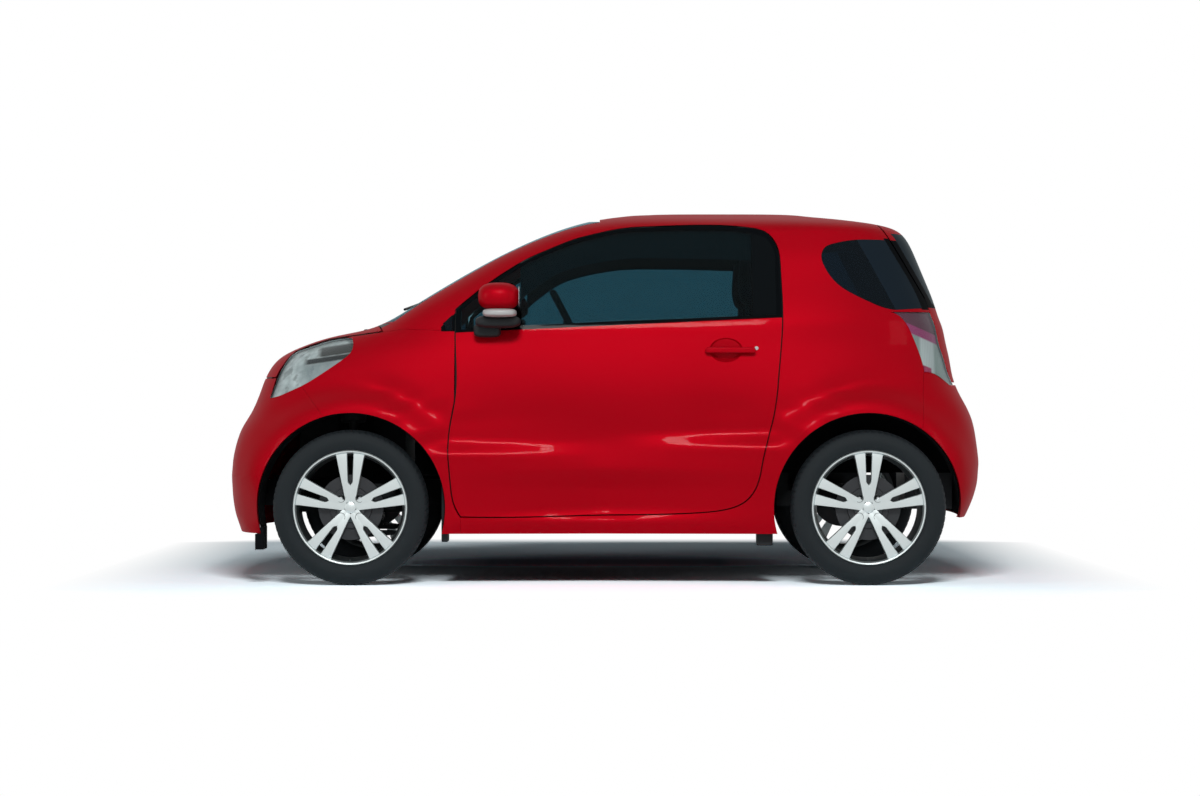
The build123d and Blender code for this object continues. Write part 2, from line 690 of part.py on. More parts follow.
def make_rim(axle, side, name):
    half = rim_width / 2
    plane = wheel_plane(axle, side)
    bead = rim_radius - 3.4
    barrel = turned(plane, [
        (rim_radius, half), (rim_radius, half - 6), (bead, half - 8), (bead, 8 - half),
        (rim_radius, 6 - half), (rim_radius, -half), (rim_radius - 8, -half), (rim_radius - 14, 8 - half),
        (rim_radius - 14, half - 14), (rim_radius - 8, half - 2), (rim_radius - 4, half),
    ])
    dish = turned(plane, [
        (0, 50), (64, 46), (rim_radius - 12, half - 5), (rim_radius - 12, half - 45), (64, 14), (0, 14),
    ])
    with BuildPart() as rim:
        with BuildSketch(plane.offset(0)):
            with PolarLocations(0, 5, start_angle=90):
                Polygon((50, -31), (rim_radius - 10, -60), (rim_radius - 10, 60), (50, 31), align=None)
            with PolarLocations(0, 5, start_angle=90):
                Polygon((84, -3), (190, -10), (190, 10), (84, 3), align=None, mode=Mode.SUBTRACT)
        extrude(amount=120)
        add(dish, mode=Mode.INTERSECT)
        add(barrel)
        with BuildSketch(plane.offset(-18)):
            Circle(66)
        extrude(amount=66)
        with BuildSketch(plane.offset(-44)):
            Circle(brake_radius)
        extrude(amount=brake_thickness)
        with BuildSketch(plane.offset(-44)):
            Circle(72)
        extrude(amount=30)
        with BuildSketch(plane.offset(48)):
            with PolarLocations(50, 4, start_angle=45):
                Circle(12)
        extrude(amount=-22, mode=Mode.SUBTRACT)
        with BuildSketch(plane.offset(-44)):
            Circle(spindle_radius + spindle_clearance)
        extrude(amount=60, mode=Mode.SUBTRACT)
    rim.part.label = name
    export_step(rim.part, f"parts/{name}.step")
    return rim.part


brake_radius = 126.0
brake_thickness = 20.0
ball_y = 676.0  # the lower ball joint, the foot of the steering axis
ball_z = 190.0
strut_top_y = 590.0
strut_top_z = 760.0


steer_foot = Vector(front_x, -ball_y, ball_z)
steer_axis = Vector(0, ball_y - strut_top_y, strut_top_z - ball_z).normalized()
joint_gap = 0.3


def steering_plane(height):
    # square to the left wheel's steering axis, at a distance along it from the lower ball joint
    return Plane(origin=steer_foot + steer_axis * height, x_dir=(1, 0, 0), z_dir=steer_axis)


def make_knuckles():
    plane = wheel_plane(front_x, -1)
    with BuildPart() as knuckle:
        with BuildSketch(plane.offset(-98)):
            Circle(60)
        extrude(amount=44)
        with BuildSketch(plane.offset(-98)):
            Circle(spindle_radius)
        extrude(amount=112)
        with BuildSketch(steering_plane(12)):
            Circle(17)
        extrude(amount=206)
        with BuildSketch(plane.offset(-66)):
            with Locations((88, 40)):
                Rectangle(70, 90)
        extrude(amount=12)
        with BuildSketch(plane.offset(-58)):
            with Locations((150, 40)):
                Rectangle(34, 100)
            with Locations((112, 40)):
                Rectangle(60, 100)
        extrude(amount=8)
    left_and_right(knuckle.part, "knuckle")


def make_underbody():
    trimmed = body_half(door_wall + seam, 150.0, upper_wall, 34.0, 0.0, upper_wall)
    top = floor_z + 30
    with BuildPart() as floor:
        add(trimmed)
        add(box_between((front(378), -far, floor_z), (rear(-400), 50, top)), mode=Mode.INTERSECT)
    with BuildPart() as half:
        add(box_between((front(378), -640, floor_z), (front(392), 50, belt_z - 60)))
        add(box_between((front(300), -735, 600), (front(378), -600, belt_z - 20)))
        add(box_between((rear(-400), -560, floor_z), (rear(-386), 50, top + 200)))
        add(box_between((rear(-400), -560, top + 185), (rear(440), 50, top + 200)))
        add(box_between((rear(385), -520, sill_z + 60), (rear(397), 50, sill_z + 480)))
        add(box_between((front(-400), -467, 300), (front(378), -362.3, 400)))
        add(box_between((front(-70), -467, 400), (front(70), -456, 768)))
        add(box_between((front(-70), -655, 768), (front(70), -456, 780)))
        add(box_between((front(392), -90, top), (rear(-400), 50, top + 100)))
        add(trim_lining, mode=Mode.INTERSECT)
        add(floor.part)
    both_sides(half.part, "underbody")


deflector_z = 136.0  # the air deflectors ahead of the front wheels reach down to here


def make_liners():
    outside = arch_radius - 0.5
    inside = arch_radius - 4.5
    ring = well(outside, front_x, steer_well) - well(inside, front_x, 0.0)
    with BuildPart() as front_liner:
        add(ring)
        add(trim_lining, mode=Mode.INTERSECT)
        add(box_between((-far, -far, 0), (far, 0, floor_z)), mode=Mode.SUBTRACT)
        with BuildSketch(Plane.XY.offset(wheel_z)):
            with Locations((front_x, -605)):
                Circle(72)
        extrude(amount=far, mode=Mode.SUBTRACT)
        add(box_between((front(-372), -755, deflector_z), (front(-340), -590, sill_z - 11)))
        add(box_between((front(-350), -755, sill_z - 17), (front(-340), -590, floor_z + 7)))
        add(box_between((front(-354), -755, floor_z - 5), (front(-345), -590, floor_z + 7)))
    rear_ring = well(outside, rear_x, rear_well) - well(inside, rear_x, 0.0)
    with BuildPart() as rear_liner:
        add(rear_ring)
        add(trim_lining, mode=Mode.INTERSECT)
        add(box_between((-far, -far, 0), (far, 0, sill_z + 100)), mode=Mode.SUBTRACT)
        with BuildSketch(Plane.XZ.offset(rear_well - 4)):
            with Locations((rear_x, wheel_z)):
                Circle(outside)
            with Locations((rear_x, 0)):
                Rectangle(2 * far, 2 * (floor_z + 231), mode=Mode.SUBTRACT)
        extrude(amount=4)
    with BuildPart() as liners:
        add(front_liner.part)
        add(rear_liner.part)
    left_and_right(liners.part, "arch_liners")


def make_engine():
    with BuildPart() as engine:
        add(box_between((front(-230), -362, 270), (front(190), 362, 680)))
    engine.part.label = "engine_block"
    export_step(engine.part, "parts/engine_block.step")


def make_suspension():
    with BuildPart() as half:
        add(box_between((front(-60), -440, 225), (front(60), 50, 262)))
        add(box_between((front(-60), -440, 262), (front(60), -380, 300)))
        with BuildSketch(Plane.XY.offset(178)):
            with BuildLine():
                Polyline(
                    (front(-24), -ball_y), (front(24), -ball_y), (front(150), -330), (front(110), -300),
                    (front(-60), -300), (front(-24), -ball_y),
                )
            make_face()
        extrude(amount=18)
        with BuildSketch(steering_plane(-14)):
            Circle(17)
        extrude(amount=26 - joint_gap)
        add(box_between((front(-60), -330, 188), (front(60), -300, 225)))
        add(box_between((-far, 0, 0), (far, far, far)), mode=Mode.SUBTRACT)
    both_sides(half.part, "front_suspension")
    top = (strut_top_z - ball_z) / steer_axis.Z
    with BuildPart() as strut:
        with BuildSketch(steering_plane(218 + joint_gap)):
            Circle(17)
        extrude(amount=top - 218 - joint_gap)
        with BuildSketch(steering_plane(top - 130)):
            Circle(50)
        extrude(amount=130)
    left_and_right(strut.part, "strut")


def make_rear_axle():
    with BuildPart() as half:
        with BuildSketch(Plane.XZ):
            with Locations((rear(-170), 330)):
                Circle(38)
        extrude(amount=520)
        add(box_between((rear(-330), -545, 300), (rear(30), -480, 360)))
        with BuildSketch(Plane.XZ.offset(540)):
            with Locations((rear_x, wheel_z)):
                Circle(60)
        extrude(amount=wheel_y - 540 - 50)
        with BuildSketch(Plane.XZ.offset(640)):
            with Locations((rear_x, wheel_z)):
                Circle(spindle_radius)
        extrude(amount=wheel_y - 640 + 14)
        add(box_between((rear(-340), -545, 300), (rear(-300), -480, floor_z + 215 - seam)))
    both_sides(half.part, "rear_axle")


def make_exhaust():
    with BuildPart() as exhaust:
        add(box_between((rear(180), -300, 280), (rear(370), 100, floor_z + 215)))
    exhaust.part.label = "exhaust"
    export_step(exhaust.part, "parts/exhaust.step")


def make_grille():
    with BuildPart() as half:
        add(lining)
        add(box_between((nose_x, -440, sill_z + 36), (nose_x + skin + 26, 0, sill_z + 140)), mode=Mode.INTERSECT)
    both_sides(half.part, "front_grille")


dash_edges = straight_sides([
    (front(392), belt_z - 300), (front(392), belt_z - 70), (front(470), belt_z - 40),
    (front(620), belt_z - 55), (front(665), belt_z - 100), (front(640), belt_z - 190),
    (front(520), belt_z - 300),
])


def make_dashboard():
    with BuildPart() as dash:
        extrude(closed_sketch(dash_edges), amount=625, dir=(0, -1, 0))
    both_sides(dash.part, "dashboard")


driver_y = -330.0
seat_half = 245.0


def make_steering_wheel():
    hub = Vector(front(860), driver_y, belt_z - 20)
    lean = Vector(math.cos(math.radians(28)), 0, math.sin(math.radians(28)))
    face = Plane(origin=hub, x_dir=(0, 1, 0), z_dir=lean)
    with BuildPart() as wheel:
        with BuildSketch(Plane(origin=hub, x_dir=face.y_dir, z_dir=-face.x_dir)):
            with Locations((178, 0)):
                Circle(14)
        revolve(axis=Axis(hub, lean))
        with BuildSketch(face.offset(-20)):
            Circle(62)
            Rectangle(356, 34)
            with Locations((0, -90)):
                Rectangle(34, 178)
        extrude(amount=22)
        with BuildSketch(face.offset(-250)):
            Circle(34)
        extrude(amount=240)
        add(side_cut(dash_edges), mode=Mode.SUBTRACT)
    wheel.part.label = "steering_wheel"
    export_step(wheel.part, "parts/steering_wheel.step")


def make_seats():
    top = floor_z + 30
    for side, name in ((-1, "seat_left"), (1, "seat_right")):
        with BuildPart() as seat:
            with BuildSketch(Plane.XZ.offset(-side * 330 - seat_half)):
                with BuildLine():
                    Polyline(
                        (front(990), top + 130), (front(1010), top + 300), (rear(-640), top + 270),
                        (rear(-490), belt_z + 45), (rear(-420), belt_z + 40), (rear(-560), top + 180),
                        (rear(-600), top + 130), (front(990), top + 130),
                    )
                make_face()
            extrude(amount=2 * seat_half)
            with BuildSketch(Plane.XZ.offset(-side * 330 - 130)):
                with BuildLine():
                    Polyline(
                        (rear(-485), belt_z + 70), (rear(-470), belt_z + 310), (rear(-400), belt_z + 300),
                        (rear(-415), belt_z + 60), (rear(-485), belt_z + 70),
                    )
                make_face()
            extrude(amount=260)
            with BuildSketch(Plane.XY.offset(belt_z)):
                with Locations((rear(-452), side * 330)):
                    Rectangle(12, 160)
            extrude(amount=80)
            with BuildSketch(Plane.XY.offset(top)):
                with Locations((front(1180), side * 330)):
                    Rectangle(320, 380)
            extrude(amount=150)
        seat.part.label = name
        export_step(seat.part, f"parts/{name}.step")


def make_bench():
    top = floor_z + 230
    with BuildPart() as bench:
        with BuildSketch(Plane.XZ.offset(-505)):
            with BuildLine():
                Polyline(
                    (rear(-330), top), (rear(-330), top + 130), (rear(60), top + 110), (rear(140), belt_z + 20),
                    (rear(176), belt_z + 10), (rear(140), top), (rear(-330), top),
                )
            make_face()
        extrude(amount=2 * 505)
    bench.part.label = "rear_bench"
    export_step(bench.part, "parts/rear_bench.step")


def make_mirrors():
    with BuildPart() as foot:
        add(box_between((front(475), -885, belt_z - 48), (front(580), -740, belt_z - 14)))
        add(outer, mode=Mode.SUBTRACT)
    with BuildPart() as mirror_body:
        with BuildSketch(Plane.YZ.offset(front(646))):
            with Locations((-867, belt_z + 110)):
                RectangleRounded(190, 100, 38)
        extrude(amount=-162)
        fillet(mirror_body.faces().sort_by(Axis.X)[0].edges(), 34)
        add(box_between((front(490), -885, belt_z - 30), (front(565), -815, belt_z + 70)))
        add(largest(foot.part))
    left_and_right(mirror_body.part, "mirror")


make_bonnet()
make_front_bumper()
make_wings()
make_headlamps()
make_side_frames()
make_doors()
make_quarter_glass()
make_tail_lamps()
make_rear_bumper()
make_tailgate()
make_roof_and_screen()
for end, axle in (("front", front_x), ("rear", rear_x)):
    for side, name in ((-1, "left"), (1, "right")):
        make_tyre(axle, side, f"tyre_{end}_{name}")
        make_rim(axle, side, f"rim_{end}_{name}")
make_knuckles()
make_underbody()
make_liners()
make_engine()
make_suspension()
make_rear_axle()
make_exhaust()
make_grille()
make_dashboard()
make_steering_wheel()
make_seats()
make_bench()
make_mirrors()
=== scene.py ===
import math

import bmesh
import bpy
import numpy as np
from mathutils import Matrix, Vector
from mathutils.bvhtree import BVHTree


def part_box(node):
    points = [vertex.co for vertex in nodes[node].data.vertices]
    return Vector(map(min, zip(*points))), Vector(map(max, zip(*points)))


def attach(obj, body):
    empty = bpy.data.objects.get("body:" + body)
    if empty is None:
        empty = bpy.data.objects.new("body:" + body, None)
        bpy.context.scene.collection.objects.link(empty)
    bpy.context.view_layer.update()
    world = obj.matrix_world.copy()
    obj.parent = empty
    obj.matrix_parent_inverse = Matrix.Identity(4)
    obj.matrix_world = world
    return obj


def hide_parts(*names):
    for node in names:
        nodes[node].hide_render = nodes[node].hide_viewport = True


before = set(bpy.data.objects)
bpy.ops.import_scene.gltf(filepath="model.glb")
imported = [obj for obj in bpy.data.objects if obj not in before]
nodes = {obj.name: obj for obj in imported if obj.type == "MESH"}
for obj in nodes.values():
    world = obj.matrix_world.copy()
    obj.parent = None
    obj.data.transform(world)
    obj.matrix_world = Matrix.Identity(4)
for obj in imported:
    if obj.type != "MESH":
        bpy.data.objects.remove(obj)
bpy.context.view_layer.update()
scene = bpy.context.scene


# node trees written as sums
class Link:
    # one socket of a node tree: sums written on it add Math nodes
    def __init__(self, tree, socket):
        self.tree = tree
        self.socket = socket

    def sum(self, operation, *values):
        return self.tree.node("ShaderNodeMath", {"operation": operation}, dict(enumerate(values)))

    def __add__(self, other): return self.sum("ADD", self, other)
    def __radd__(self, other): return self.sum("ADD", other, self)
    def __sub__(self, other): return self.sum("SUBTRACT", self, other)
    def __rsub__(self, other): return self.sum("SUBTRACT", other, self)
    def __mul__(self, other): return self.sum("MULTIPLY", self, other)
    def __rmul__(self, other): return self.sum("MULTIPLY", other, self)
    def __truediv__(self, other): return self.sum("DIVIDE", self, other)
    def above(self, edge, soft): return ((self - edge) / soft + 0.5).clamped()
    def below(self, edge, soft): return 1 - self.above(edge, soft)
    def clamped(self): return self.tree.node("ShaderNodeClamp", {}, {0: self})
    def sine(self): return self.sum("SINE", self)
    def magnitude(self): return self.sum("ABSOLUTE", self)


class Tree:
    def __init__(self, name):
        self.material = bpy.data.materials.new(name)
        self.material.use_nodes = True
        self.store = self.material.node_tree
        self.store.nodes.clear()

    def node(self, kind, settings, inputs=None, output=0):
        made = self.store.nodes.new(kind)
        for key, value in settings.items():
            if key == "stops":
                self.setStops(made.color_ramp, value)
            else:
                setattr(made, key, value)
        for key, value in (inputs or {}).items():
            if isinstance(value, Link):
                self.store.links.new(value.socket, made.inputs[key])
            else:
                made.inputs[key].default_value = value
        return Link(self, made.outputs[output] if made.outputs else None)

    def setStops(self, ramp, stops):
        while len(ramp.elements) < len(stops):
            ramp.elements.new(0.5)
        for element, (place, colour) in zip(ramp.elements, stops):
            element.position = place
            element.color = (*colour, 1)

    def place(self):
        return self.node("ShaderNodeTexCoord", {}, output=3)

    def axes(self):
        split = self.node("ShaderNodeSeparateXYZ", {}, {0: self.place()})
        return [Link(self, output) for output in split.socket.node.outputs]

    def noise(self, scale, detail=2.0):
        values = {"Vector": self.place(), "Scale": scale, "Detail": detail}
        return self.node("ShaderNodeTexNoise", {}, values)

    def mix(self, share, first, second):
        colours = [(*c, 1) if isinstance(c, tuple) else c for c in (first, second)]
        return self.node("ShaderNodeMix", {"data_type": "RGBA"}, {0: share, 6: colours[0], 7: colours[1]}, 2)

    def bump(self, height, strength, distance):
        return self.node("ShaderNodeBump", {}, {"Height": height, "Strength": strength, "Distance": distance})

    def surface(self, **values):
        # one Principled surface: names with underscores stand for its sockets
        inputs = {name.replace("_", " "): value for name, value in values.items()}
        for name in ("Base Color", "Emission Color"):
            if isinstance(inputs.get(name), tuple):
                inputs[name] = (*inputs[name], 1)
        return self.node("ShaderNodeBsdfPrincipled", {}, inputs)

    def done(self, shader):
        self.node("ShaderNodeOutputMaterial", {}, {0: shader})
        return self.material


def plain(name, colour, roughness, metallic=0.0, coat=0.0, grain=0.0, scale=400.0, variation=0.12, **rest):
    # a moulded or cast finish: fine grain in its bump, and a slow change of colour and gloss
    tree = Tree(name)
    slow = tree.noise(6.0, 3.0)
    fine = tree.noise(scale, 3.0)
    darker = tuple(c * (1 - variation) for c in colour)
    lighter = tuple(min(c * (1 + variation), 1) for c in colour)
    base = tree.mix(slow, darker, lighter)
    gloss = (roughness - 0.05) + slow * 0.1
    values = dict(Base_Color=base, Roughness=gloss, Metallic=metallic, Coat_Weight=coat)
    if grain:
        values["Normal"] = tree.bump(fine, grain, 0.0006)
    values.update(rest)
    return tree.done(tree.surface(**values))


def makePaint(name, black=None):
    # lacquer with fine metal flakes, black where black(x, y, z) says so
    tree = Tree(name)
    flakes = tree.node("ShaderNodeTexVoronoi", {}, {"Vector": tree.place(), "Scale": 1500.0})
    slow = tree.noise(2.2, 2.0)
    red = tree.mix(flakes * 0.5 + slow * 0.5, (0.40, 0.0006, 0.0070), (0.52, 0.0010, 0.0105))
    metallic, roughness = 0.28, 0.46 + flakes * 0.06
    if black:
        mask = black(*tree.axes())
        red = tree.mix(mask, red, (0.003, 0.0045, 0.006))
        metallic = 0.28 - mask * 0.28
        roughness = roughness - mask * 0.2
    return tree.done(tree.surface(Base_Color=red, Metallic=metallic, Roughness=roughness, Coat_Weight=0.05,
                                  Coat_Roughness=0.05, Specular_IOR_Level=0.0))


def doorBlack(x, y, z):
    # the window frame above the belt line, which rises to the rear
    return z.above(0.9765 + (x + 0.559) * 0.0466, 0.002)


def cornerBlack(x, y, z):
    # the little triangle round the quarter light, and the pillar behind the rear side glass
    front = x.above(-0.636, 0.002) * x.below(-0.540, 0.002) * z.above(0.981, 0.002)
    front = front * z.below(1.003 + (x + 0.632) * 0.98, 0.003)
    pillar = z.above(1.069, 0.002) * z.below(1.350, 0.003) * x.above(1.812 - z * 0.533, 0.003)
    return (front + pillar).clamped()


def gateBlack(x, y, z):
    # the tailgate's window frame, under its spoiler
    return z.above(1.078, 0.002) * z.below(1.343, 0.003)


def makeGlass(name, through, gloss=0.16, roughness=0.015, body=(0.01, 0.03, 0.04), solidPart=0.04, dark=None):
    # a thin tinted pane: a share of mirror by Fresnel, the rest see-through, black at its printed edge
    tree = Tree(name)
    glossy = tree.node("ShaderNodeBsdfGlossy", {}, {"Color": (0.85, 0.97, 1.0, 1), "Roughness": roughness})
    clear = tree.node("ShaderNodeBsdfTransparent", {}, {"Color": (*through, 1)})
    tint = tree.surface(Base_Color=body, Roughness=0.35, Specular_IOR_Level=0.0)
    share = dark(*tree.axes()) * (1 - solidPart) + solidPart if dark else solidPart
    pane = tree.node("ShaderNodeMixShader", {}, {0: share, 1: clear, 2: tint})
    fresnel = tree.node("ShaderNodeFresnel", {}, {"IOR": 1.45}) * gloss
    return tree.done(tree.node("ShaderNodeMixShader", {}, {0: fresnel, 1: pane, 2: glossy}))


def pillarEdge(x, y, z):
    # printed band over the door pillar
    return x.above(0.570, 0.004)


def quarterEdge(x, y, z):
    # printed band at the rear of the side glass: the part behind the line is opaque
    return x.above(1.700 - z * 0.533, 0.004)


paint = makePaint("paintRed")
doorPaint = makePaint("paintDoor", doorBlack)
cornerPaint = makePaint("paintCorner", cornerBlack)
gatePaint = makePaint("paintTailgate", gateBlack)
# each pane has two faces, so a face lets through the square root of what the pane does
tintGlass = makeGlass("glassTinted", (0.36, 0.50, 0.54))
doorGlass = makeGlass("glassDoor", (0.31, 0.475, 0.52), body=(0.001, 0.0025, 0.004), dark=pillarEdge)
quarterGlass = makeGlass("glassQuarter", (0.22, 0.33, 0.40), body=(0.010, 0.020, 0.032), solidPart=0.3,
                         dark=quarterEdge)
lampClear = makeGlass("glassLamp", (0.96, 0.98, 0.985), gloss=0.5, solidPart=0.01)
blackTrim = plain("trimBlack", (0.008, 0.0105, 0.012), 0.55, grain=0.25, scale=900.0, Specular_IOR_Level=0.25)
rubber = plain("sealRubber", (0.004, 0.006, 0.007), 0.6, grain=0.15, scale=600.0, Specular_IOR_Level=0.2)
alloy = plain("alloySilver", (0.60, 0.66, 0.66), 0.30, metallic=0.75, coat=0.2, variation=0.06)
# painted shade: a dark copy of the alloy for the inside of the barrel, the hub and the bolt wells; the valve
# is dark too
darkAlloy = plain("alloyShaded", (0.05, 0.058, 0.06), 0.4, metallic=0.6, variation=0.1)
steel = plain("steelBright", (0.42, 0.44, 0.45), 0.3, metallic=1.0, grain=0.1, scale=300.0)
discSteel = plain("steelDisc", (0.030, 0.032, 0.035), 0.45, metallic=0.7, grain=0.2, scale=300.0)
castIron = plain("ironCast", (0.010, 0.012, 0.013), 0.7, metallic=0.2, grain=0.6, scale=220.0,
                 Specular_IOR_Level=0.2)
underside = plain("undersideBlack", (0.004, 0.005, 0.006), 0.9, grain=0.4, scale=200.0,
                  Specular_IOR_Level=0.1)
cabinPlastic = plain("cabinPlastic", (0.014, 0.018, 0.021), 0.62, grain=0.45, scale=1100.0)
chrome = plain("lampChrome", (0.80, 0.86, 0.86), 0.16, metallic=0.85, variation=0.04)
stripWhite = plain("stripWhite", (0.62, 0.63, 0.63), 0.35, grain=0.05, scale=300.0)


# surfaces worked out with numpy
def gridFaces(rows, columns, closeRows, closeColumns):
    # quads between neighbouring grid points, numbered row by row
    i = np.arange(rows if closeRows else rows - 1)
    j = np.arange(columns if closeColumns else columns - 1)
    i, j = np.meshgrid(i, j, indexing="ij")
    down, right = (i + 1) % rows, (j + 1) % columns
    corners = [i * columns + j, down * columns + j, down * columns + right, i * columns + right]
    return np.stack(corners, axis=-1).reshape(-1, 4)


def gridPart(points, closeRows=False, closeColumns=False, capRows=False):
    # a grid of points as vertices and faces, with its first and last row closed by a cap
    rows, columns = points.shape[:2]
    faces = gridFaces(rows, columns, closeRows, closeColumns).tolist()
    if capRows:
        faces.append(list(range(columns)))
        faces.append(list(range((rows - 1) * columns, rows * columns)))
    return points.reshape(-1, 3), faces


def makePiece(name, parts, materials, body, replaces=(), smooth=35, bevel=0.0, solid=True):
    # several parts in one mesh: doubles merged, faces turned outwards, one material index for each part
    vertices, faces, indices = [], [], []
    start = 0
    for part in parts:
        points, quads = part[0], part[1]
        vertices.append(points)
        faces.extend([[corner + start for corner in quad] for quad in quads])
        number = part[2] if len(part) > 2 else 0
        indices.extend(number if isinstance(number, list) else [number] * len(quads))
        start += len(points)
    mesh = bpy.data.meshes.new(name)
    mesh.from_pydata(np.concatenate(vertices).tolist(), [], faces)
    mesh.polygons.foreach_set("material_index", np.array(indices, dtype=np.int32))
    for material in materials:
        mesh.materials.append(material)
    if solid:
        work = bmesh.new()
        work.from_mesh(mesh)
        bmesh.ops.remove_doubles(work, verts=work.verts, dist=1e-6)
        bmesh.ops.recalc_face_normals(work, faces=work.faces)
        work.to_mesh(mesh)
        work.free()
    mesh.shade_smooth()
    mesh.set_sharp_from_angle(angle=math.radians(smooth))
    piece = bpy.data.objects.new(name, mesh)
    scene.collection.objects.link(piece)
    if bevel:
        edge = piece.modifiers.new("edge", "BEVEL")
        edge.width = bevel
        edge.segments = 2
        edge.limit_method = "ANGLE"
        edge.angle_limit = math.radians(40)
    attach(piece, body)
    if replaces:
        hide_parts(*replaces)
    return piece


def turned(profile, steps, axle, side, first=0.0):
    # profile rows of (radius, offset outwards) carried around the axle: x = r cos t, z = r sin t
    angles = np.linspace(0, 2 * np.pi, steps, endpoint=False) + first
    radius, offset = np.asarray(profile, dtype=float).T
    x = axle[0] + np.outer(np.cos(angles), radius)
    z = axle[2] + np.outer(np.sin(angles), radius)
    y = np.broadcast_to(axle[1] + side * offset, x.shape)
    return np.stack([x, y, z], axis=-1)


def carried(path, profile, up):
    # a flat profile of (across, along up) carried along a path, square to it at each point
    path = np.asarray(path, dtype=float)
    profile = np.asarray(profile, dtype=float)
    along = np.gradient(path, axis=0)
    along /= np.linalg.norm(along, axis=1, keepdims=True)
    across = np.cross(along, np.asarray(up, dtype=float))
    across /= np.linalg.norm(across, axis=1, keepdims=True)
    rise = np.cross(across, along)
    return path[:, None] + profile[None, :, :1] * across[:, None] + profile[None, :, 1:] * rise[:, None]


def curveThrough(points, count):
    # a smooth line through a few points: Catmull-Rom between each pair
    p = np.asarray(points, dtype=float)
    ends = np.vstack([2 * p[0] - p[1], p, 2 * p[-1] - p[-2]])
    t = np.linspace(0, len(p) - 1, count)
    k = np.minimum(t.astype(int), len(p) - 2)
    f = (t - k)[:, None]
    a, b, c, d = ends[k], ends[k + 1], ends[k + 2], ends[k + 3]
    square, cube = 2 * a - 5 * b + 4 * c - d, 3 * b - a - 3 * c + d
    return 0.5 * (2 * b + (c - a) * f + square * f ** 2 + cube * f ** 3)


def roundProfile(width, height, power=2.6, count=24):
    # a closed superellipse: |a/w|^p + |b/h|^p = 1
    t = np.linspace(0, 2 * np.pi, count, endpoint=False)
    c, s = np.cos(t), np.sin(t)
    return np.stack([width / 2 * np.sign(c) * np.abs(c) ** (2 / power),
                     height / 2 * np.sign(s) * np.abs(s) ** (2 / power)], axis=-1)


def pad(low, high, power=4.0, rows=24, columns=48):
    # a closed crowned box: a superellipsoid between two corners
    low, high = np.asarray(low, dtype=float), np.asarray(high, dtype=float)
    u = np.linspace(-np.pi / 2, np.pi / 2, rows)[:, None]
    v = np.linspace(0, 2 * np.pi, columns, endpoint=False)[None, :]
    signed = lambda value: np.sign(value) * np.abs(value) ** (2 / power)
    unit = np.stack([signed(np.cos(u)) * signed(np.cos(v)), signed(np.cos(u)) * signed(np.sin(v)),
                     signed(np.sin(u)) * np.ones_like(v)], axis=-1)
    return gridPart((low + high) / 2 + unit * (high - low) / 2, closeColumns=True)


def mirrored(part):
    return (part[0] * np.array([1, -1, 1]),) + tuple(part[1:])


print("tools ready")


# wheels: tyres with a cut tread, ten-spoke rims
wheel = {
    "tyreRadius": 0.300, "tyreWidth": 0.175, "rimRadius": 0.223, "blocks": 72, "grooveDepth": 0.006,
    "pairs": 5, "hubHalf": 0.0255, "spread": 0.205,  # pairs of bars, and how they widen outwards
    "slotStart": 0.088, "slotHalf": 0.0085, "slotGrowth": 0.030,
    "hubRadius": 0.058, "boltCircle": 0.051, "bolts": 4, "recess": 0.0165, "nut": 0.0070, "faceOffset": 0.074,
    "rimSteps": 96,
}


def tyreGrid(axle, side):
    # profile across the tyre, and a tread cut by grooves: r = r0 - depth * groove(angle, offset)
    half = wheel["tyreWidth"] / 2
    inner, outer = wheel["rimRadius"] - 0.004, wheel["tyreRadius"]
    knots = np.array([
        (inner, half - 0.016), (inner + 0.012, half - 0.006), (inner + 0.034, half - 0.001),
        (outer - 0.026, half - 0.004), (outer - 0.010, half - 0.012), (outer - 0.003, half - 0.024),
        (outer - 0.0005, half - 0.042), (outer, 0.0),
    ])
    outerHalf = curveThrough(knots, 40)
    profile = np.vstack([outerHalf, outerHalf[-2::-1] * [1, -1]])
    steps = wheel["blocks"] * 5
    grid = turned(profile, steps, (0, 0, 0), 1)
    angle = np.linspace(0, 2 * np.pi, steps, endpoint=False)[:, None]
    offset = profile[None, :, 1]
    tread = np.clip((profile[None, :, 0] - (outer - 0.012)) / 0.006, 0, 1)
    around = np.zeros_like(offset)
    for centre in (-0.044, -0.015, 0.015, 0.044):
        around = np.maximum(around, np.clip(1.6 - np.abs(offset - centre) / 0.0032, 0, 1))
    phase = angle * wheel["blocks"] / (2 * np.pi) + np.abs(offset) * 14
    lateral = np.clip(1.4 - np.abs((phase % 1.0) - 0.5) / 0.11, 0, 1) * (np.abs(offset) > 0.02)
    cut = wheel["grooveDepth"] * tread * np.maximum(around, lateral * 0.9)
    rings = 0.0008 * np.clip(1 - np.abs(profile[None, :, 0] - (inner + 0.040)) / 0.002, 0, 1)
    radius = profile[None, :, 0] - cut + 0 * angle
    grid[..., 0] = np.cos(angle) * radius
    grid[..., 2] = np.sin(angle) * radius
    grid[..., 1] = offset + np.sign(offset) * rings + 0 * angle
    grid = grid * [1, side, 1] + np.asarray(axle)
    return gridPart(grid, closeRows=True, closeColumns=True)


